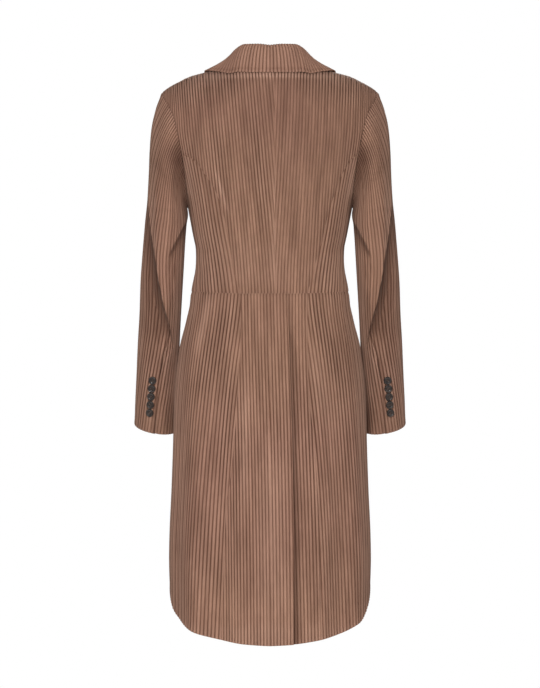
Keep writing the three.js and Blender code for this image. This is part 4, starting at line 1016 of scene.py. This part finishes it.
def collar_cloth():
    # length along the leaf's edge gives the place of each cord
    g = np.linspace(-7, 7, 701)
    edge = collar_profile(g)
    mid = edge[:, 3]
    ln = np.concatenate([[0], np.cumsum(np.linalg.norm(np.diff(mid, axis=0), axis=-1))])
    ln -= np.interp(0, g, ln)
    first, last = math.ceil(ln[0] / PITCH), math.floor(ln[-1] / PITCH)
    cols = ((np.arange(first, last)[:, None] + PHASES[None]) * PITCH).ravel()
    cols = np.concatenate([[ln[0]], cols[(cols > ln[0] + 0.3) & (cols < ln[-1] - 0.3)], [ln[-1]]])
    gg = np.interp(cols, ln, g)
    p, v, total = smooth_rows(collar_profile(gg), 30)
    du = np.gradient(p, axis=0)
    dv = np.gradient(p, axis=1)
    n = unit(np.cross(du, dv))
    if n[len(n) // 2, 2, 1] < 0:
        n = -n
    u = np.repeat(cols[:, None], p.shape[1], 1)
    vv = np.repeat(v[None], p.shape[0], 0)
    # the scalloped edge: each cord reaches a little past its grooves
    h = cord_height(u) * CORD * (0.94 + 0.12 * hashed(np.floor(u / PITCH), 17)) - 1.3
    fade = ease(total - vv, 4, 30)
    relief = -0.5 * bell((vv - 6.5) / 1.0) - 0.3 * bell(vv / 1.5)
    outer = p + n * (h * mix(0.35, 1, fade) + relief)[..., None]
    reach = unit(p[:, 0] - p[:, 1]) * (1.1 * (cord_height(u[:, 0]) - 0.5))[:, None]
    outer[:, 0] += reach
    outer[:, 1] += reach * 0.5
    inner = p - n * (WALL - 0.3)
    idx = np.arange(len(cols))
    snap = np.clip((idx // 8) * 8 + 4, 0, len(cols) - 1)
    snap[0], snap[-1] = 0, len(cols) - 1
    uv = np.stack([u / PITCH + 3400, vv / 100], -1)
    # painted shade along the dip 6.5 mm in from the leaf's edge, and a faint painted highlight over the rest of the
    # collar
    tone = np.stack([0.30 * bell((vv - 6.5) / 1.2) - 0.09, np.full(u.shape, 0.42)], -1)
    pos, tri, mat, uvs, tones = close_up(outer, inner, uv, tone, snap)
    ob = make_mesh("collar_cloth", pos, tri, mat, uvs, [PILE, BACKING], tones)
    da = np.linalg.norm(np.cross(p[1:, :-1] - p[:-1, :-1], p[:-1, 1:] - p[:-1, :-1]), axis=-1).sum()
    MESH_STATS["collar_cloth"] = [len(tri), round(float(ln[-1] - ln[0])), round(float(total)), round(da / 1e6, 4)]
    return ob


keep(collar_cloth(), "collar")


# ---- buttons ------------------------------------------------------------------------------------
def button(name, node, d, thick, place, normal, spin):
    """A turned button: raised rim, dished face, four holes and its sewing thread."""
    r_out = d / 2
    rr = np.concatenate([np.linspace(0, 0.62, 15), [0.66, 0.70, 0.75, 0.81, 0.87, 0.92, 0.955, 0.98, 0.995, 1.0]]) * r_out
    th = np.linspace(0, 2 * math.pi, 73)[:-1]
    r, t = np.meshgrid(rr, th, indexing="ij")
    x, y = r * np.cos(t), r * np.sin(t)
    q = r / r_out
    face = thick * (0.66 + 0.02 * q * q + 0.34 * ease(q, 0.60, 0.76) - 0.42 * ease(q, 0.90, 1.0) ** 1.5)
    hole = sum(ease(d * 0.062 - np.hypot(x - sx * d * 0.105, y - sy * d * 0.105), -0.12, 0.12) for sx in (-1, 1) for sy in (-1, 1))
    face = face - np.clip(hole, 0, 1) * thick * 0.35
    back = np.full_like(face, 0.0) + 0.18 * thick * ease(q, 0.86, 1.0)
    top = np.stack([x, y, face], -1)
    bot = np.stack([x, y, back], -1)
    n, m = top.shape[:2]
    pos = np.concatenate([top.reshape(-1, 3), bot.reshape(-1, 3)])
    ids = np.arange(n * m).reshape(n, m)
    ids[0] = ids[0, 0]
    j2 = np.roll(np.arange(m), -1)
    tris = []
    for layer, rev in ((0, False), (n * m, True)):
        a, b, c, e = ids[:-1], ids[1:], ids[1:][:, j2], ids[:-1][:, j2]
        q1 = np.stack([a.ravel(), b.ravel(), c.ravel()], -1) + layer
        q2 = np.stack([a.ravel(), c.ravel(), e.ravel()], -1) + layer
        t3 = np.concatenate([q1, q2])
        tris.append(t3[:, ::-1] if rev else t3)
    a, b = ids[-1], ids[-1][j2]
    tris.append(np.stack([a, a + n * m, b + n * m], -1))
    tris.append(np.stack([a, b + n * m, b], -1))
    tri = np.concatenate(tris)
    tri = tri[(tri[:, 0] != tri[:, 1]) & (tri[:, 1] != tri[:, 2]) & (tri[:, 0] != tri[:, 2])]
    zax = unit(np.asarray(normal, float))
    ref = np.array([0, 0, 1.0]) if abs(zax[2]) < 0.9 else np.array([1.0, 0, 0])
    xax = unit(np.cross(ref, zax))
    yax = np.cross(zax, xax)
    xr, yr = xax * math.cos(spin) + yax * math.sin(spin), yax * math.cos(spin) - xax * math.sin(spin)
    frame3 = np.stack([xr, yr, zax])
    used, new = np.unique(tri, return_inverse=True)
    tri = new.reshape(-1, 3)
    world = pos[used] @ frame3 + np.asarray(place)
    uv = np.zeros((len(world), 2))
    a, b, c = (world[tri[:, i]] - world.mean(0) for i in range(3))
    if np.einsum("ij,ij->i", a, np.cross(b, c)).sum() < 0:
        tri = tri[:, ::-1]
    ob = make_mesh(name, world, tri, np.zeros(len(tri)), uv, [HORN])
    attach(ob, "root")
    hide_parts(node)
    # thread: two parallel stitches through the holes
    pts, faces = [], []
    for sx in (-1, 1):
        path = np.array([[sx * d * 0.105, s * d * 0.105, thick * (0.62 + 0.16 * (1 - s * s))] for s in np.linspace(-1, 1, 9)])
        for i, c0 in enumerate(path):
            dirv = unit(path[min(i + 1, 8)] - path[max(i - 1, 0)])
            side_v = np.array([1.0, 0, 0])
            up = np.cross(side_v, dirv)
            for k in range(8):
                ang = 2 * math.pi * k / 8
                pts.append(c0 + d * 0.028 * (math.cos(ang) * side_v + math.sin(ang) * up))
        base = len(pts) - 72
        for i in range(8):
            for k in range(8):
                a1, b1 = base + i * 8 + k, base + i * 8 + (k + 1) % 8
                faces += [(a1, b1, b1 + 8), (a1, b1 + 8, a1 + 8)]
        for k in range(1, 7):
            faces.append((base, base + k + 1, base + k))
            faces.append((base + 64, base + 64 + k, base + 64 + k + 1))
    pts = np.array(pts) @ frame3 + np.asarray(place)
    sew = make_mesh(name + "_thread", pts, np.array(faces), np.zeros(len(faces)), np.zeros((len(pts), 2)), [THREAD])
    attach(sew, "root")
    return ob


for side in (1, -1):
    for i, z in enumerate(CUFF_BUTTON_Z):
        lo, hi = 6.0, 14.0
        for _ in range(30):
            m = (lo + hi) / 2
            lo, hi = (m, hi) if sleeve(line["hind"](m) - 12, m)[2] > z else (lo, m)
        dg = line["hind"](lo) - 15
        p, n = draped_sleeve(dg, np.asarray(lo)), sleeve_normal(dg, np.asarray(lo))
        mirror = np.array([side, 1, 1])
        button(f"cuff_button_turned_{WORD[side]}_{i + 1}", f"cuff_button_{WORD[side]}_{i + 1}", 14.8, 3.6, (p + n * 1.3) * mirror, n * mirror, 0.4 + 1.3 * i + side)
pz = -384
fp = body(np.array(180.0), np.array(float(pz)), 3.6, folds=False)
button("front_button_turned", "front_button", 20, 4.2, fp + np.array([0, -1.5, 0]), (0, -1, 0), 0.3)

# ---- each piece's sizes, unpacked from the mesh stats and not used ------------------------------
for name, ob in PIECES.items():
    tris, across, along, area = MESH_STATS[name]

# ---- stage, light, camera ------------------------------------------------------------------------
scene = bpy.context.scene
scene.view_settings.view_transform = "Standard"
floor_me = bpy.data.meshes.new("floor")
ring = [(1.3 * math.cos(2 * math.pi * i / 96), 1.3 * math.sin(2 * math.pi * i / 96), -1.42) for i in range(96)]
floor_me.from_pydata(ring, [], [list(range(96))])
floor = bpy.data.objects.new("floor", floor_me)
scene.collection.objects.link(floor)
fm, fnt, fb, fn, fl = new_material("floor")
fb.inputs["Base Color"].default_value = (0.80, 0.80, 0.80, 1)
fb.inputs["Roughness"].default_value = 0.9
fb.inputs["Specular IOR Level"].default_value = 0.0
floor_me.materials.append(fm)

world = bpy.data.worlds.new("studio")
scene.world = world
world.use_nodes = True
wn, wl = world.node_tree.nodes, world.node_tree.links
bg = wn["Background"]
bg.inputs["Color"].default_value = (1, 1, 1, 1)
bg.inputs["Strength"].default_value = 0.06
white = wn.new("ShaderNodeBackground")
white.inputs["Color"].default_value = (1, 1, 1, 1)
white.inputs["Strength"].default_value = 1.0
path = wn.new("ShaderNodeLightPath")
pick = wn.new("ShaderNodeMixShader")
wl.new(path.outputs["Is Camera Ray"], pick.inputs[0])
wl.new(bg.outputs[0], pick.inputs[1])
wl.new(white.outputs[0], pick.inputs[2])
wl.new(pick.outputs[0], wn["World Output"].inputs["Surface"])


def softbox(name, at, look, size, power):
    d = bpy.data.lights.new(name, "AREA")
    d.shape = "RECTANGLE"
    d.size, d.size_y, d.energy = size[0], size[1], power
    o = bpy.data.objects.new(name, d)
    o.location = at
    v = np.array(look) - np.array(at)
    import mathutils
    o.rotation_euler = mathutils.Vector(v).to_track_quat("-Z", "Y").to_euler()
    scene.collection.objects.link(o)
    return o


softbox("key", (0.2, 4.6, 0.55), (0, 0, -0.45), (0.9, 0.9), 224)
softbox("side_left", (3.4, 2.6, 0.1), (0, 0, -0.5), (0.9, 1.6), 40)
softbox("side_right", (-3.4, 2.6, 0.1), (0, 0, -0.5), (0.9, 1.6), 40)
softbox("front_key", (-0.6, -4.4, 1.1), (0, 0, -0.45), (1.2, 1.2), 300)
softbox("top", (0.0, 0.6, 2.4), (0, 0, -0.2), (1.6, 1.6), 14)

cam_data = bpy.data.cameras.new("camera")
cam = bpy.data.objects.new("camera", cam_data)
scene.collection.objects.link(cam)
DIST = 12.0
cam_data.sensor_fit = "HORIZONTAL"
cam_data.sensor_width = 36
cam_data.lens = 36 * (DIST - 0.05) / 0.999
cam.location = (0, DIST, -0.4921)
cam.rotation_euler = (math.radians(90), 0, math.radians(180))
scene.camera = cam

print("stats", json.dumps(MESH_STATS), sum(v[0] for v in MESH_STATS.values()))
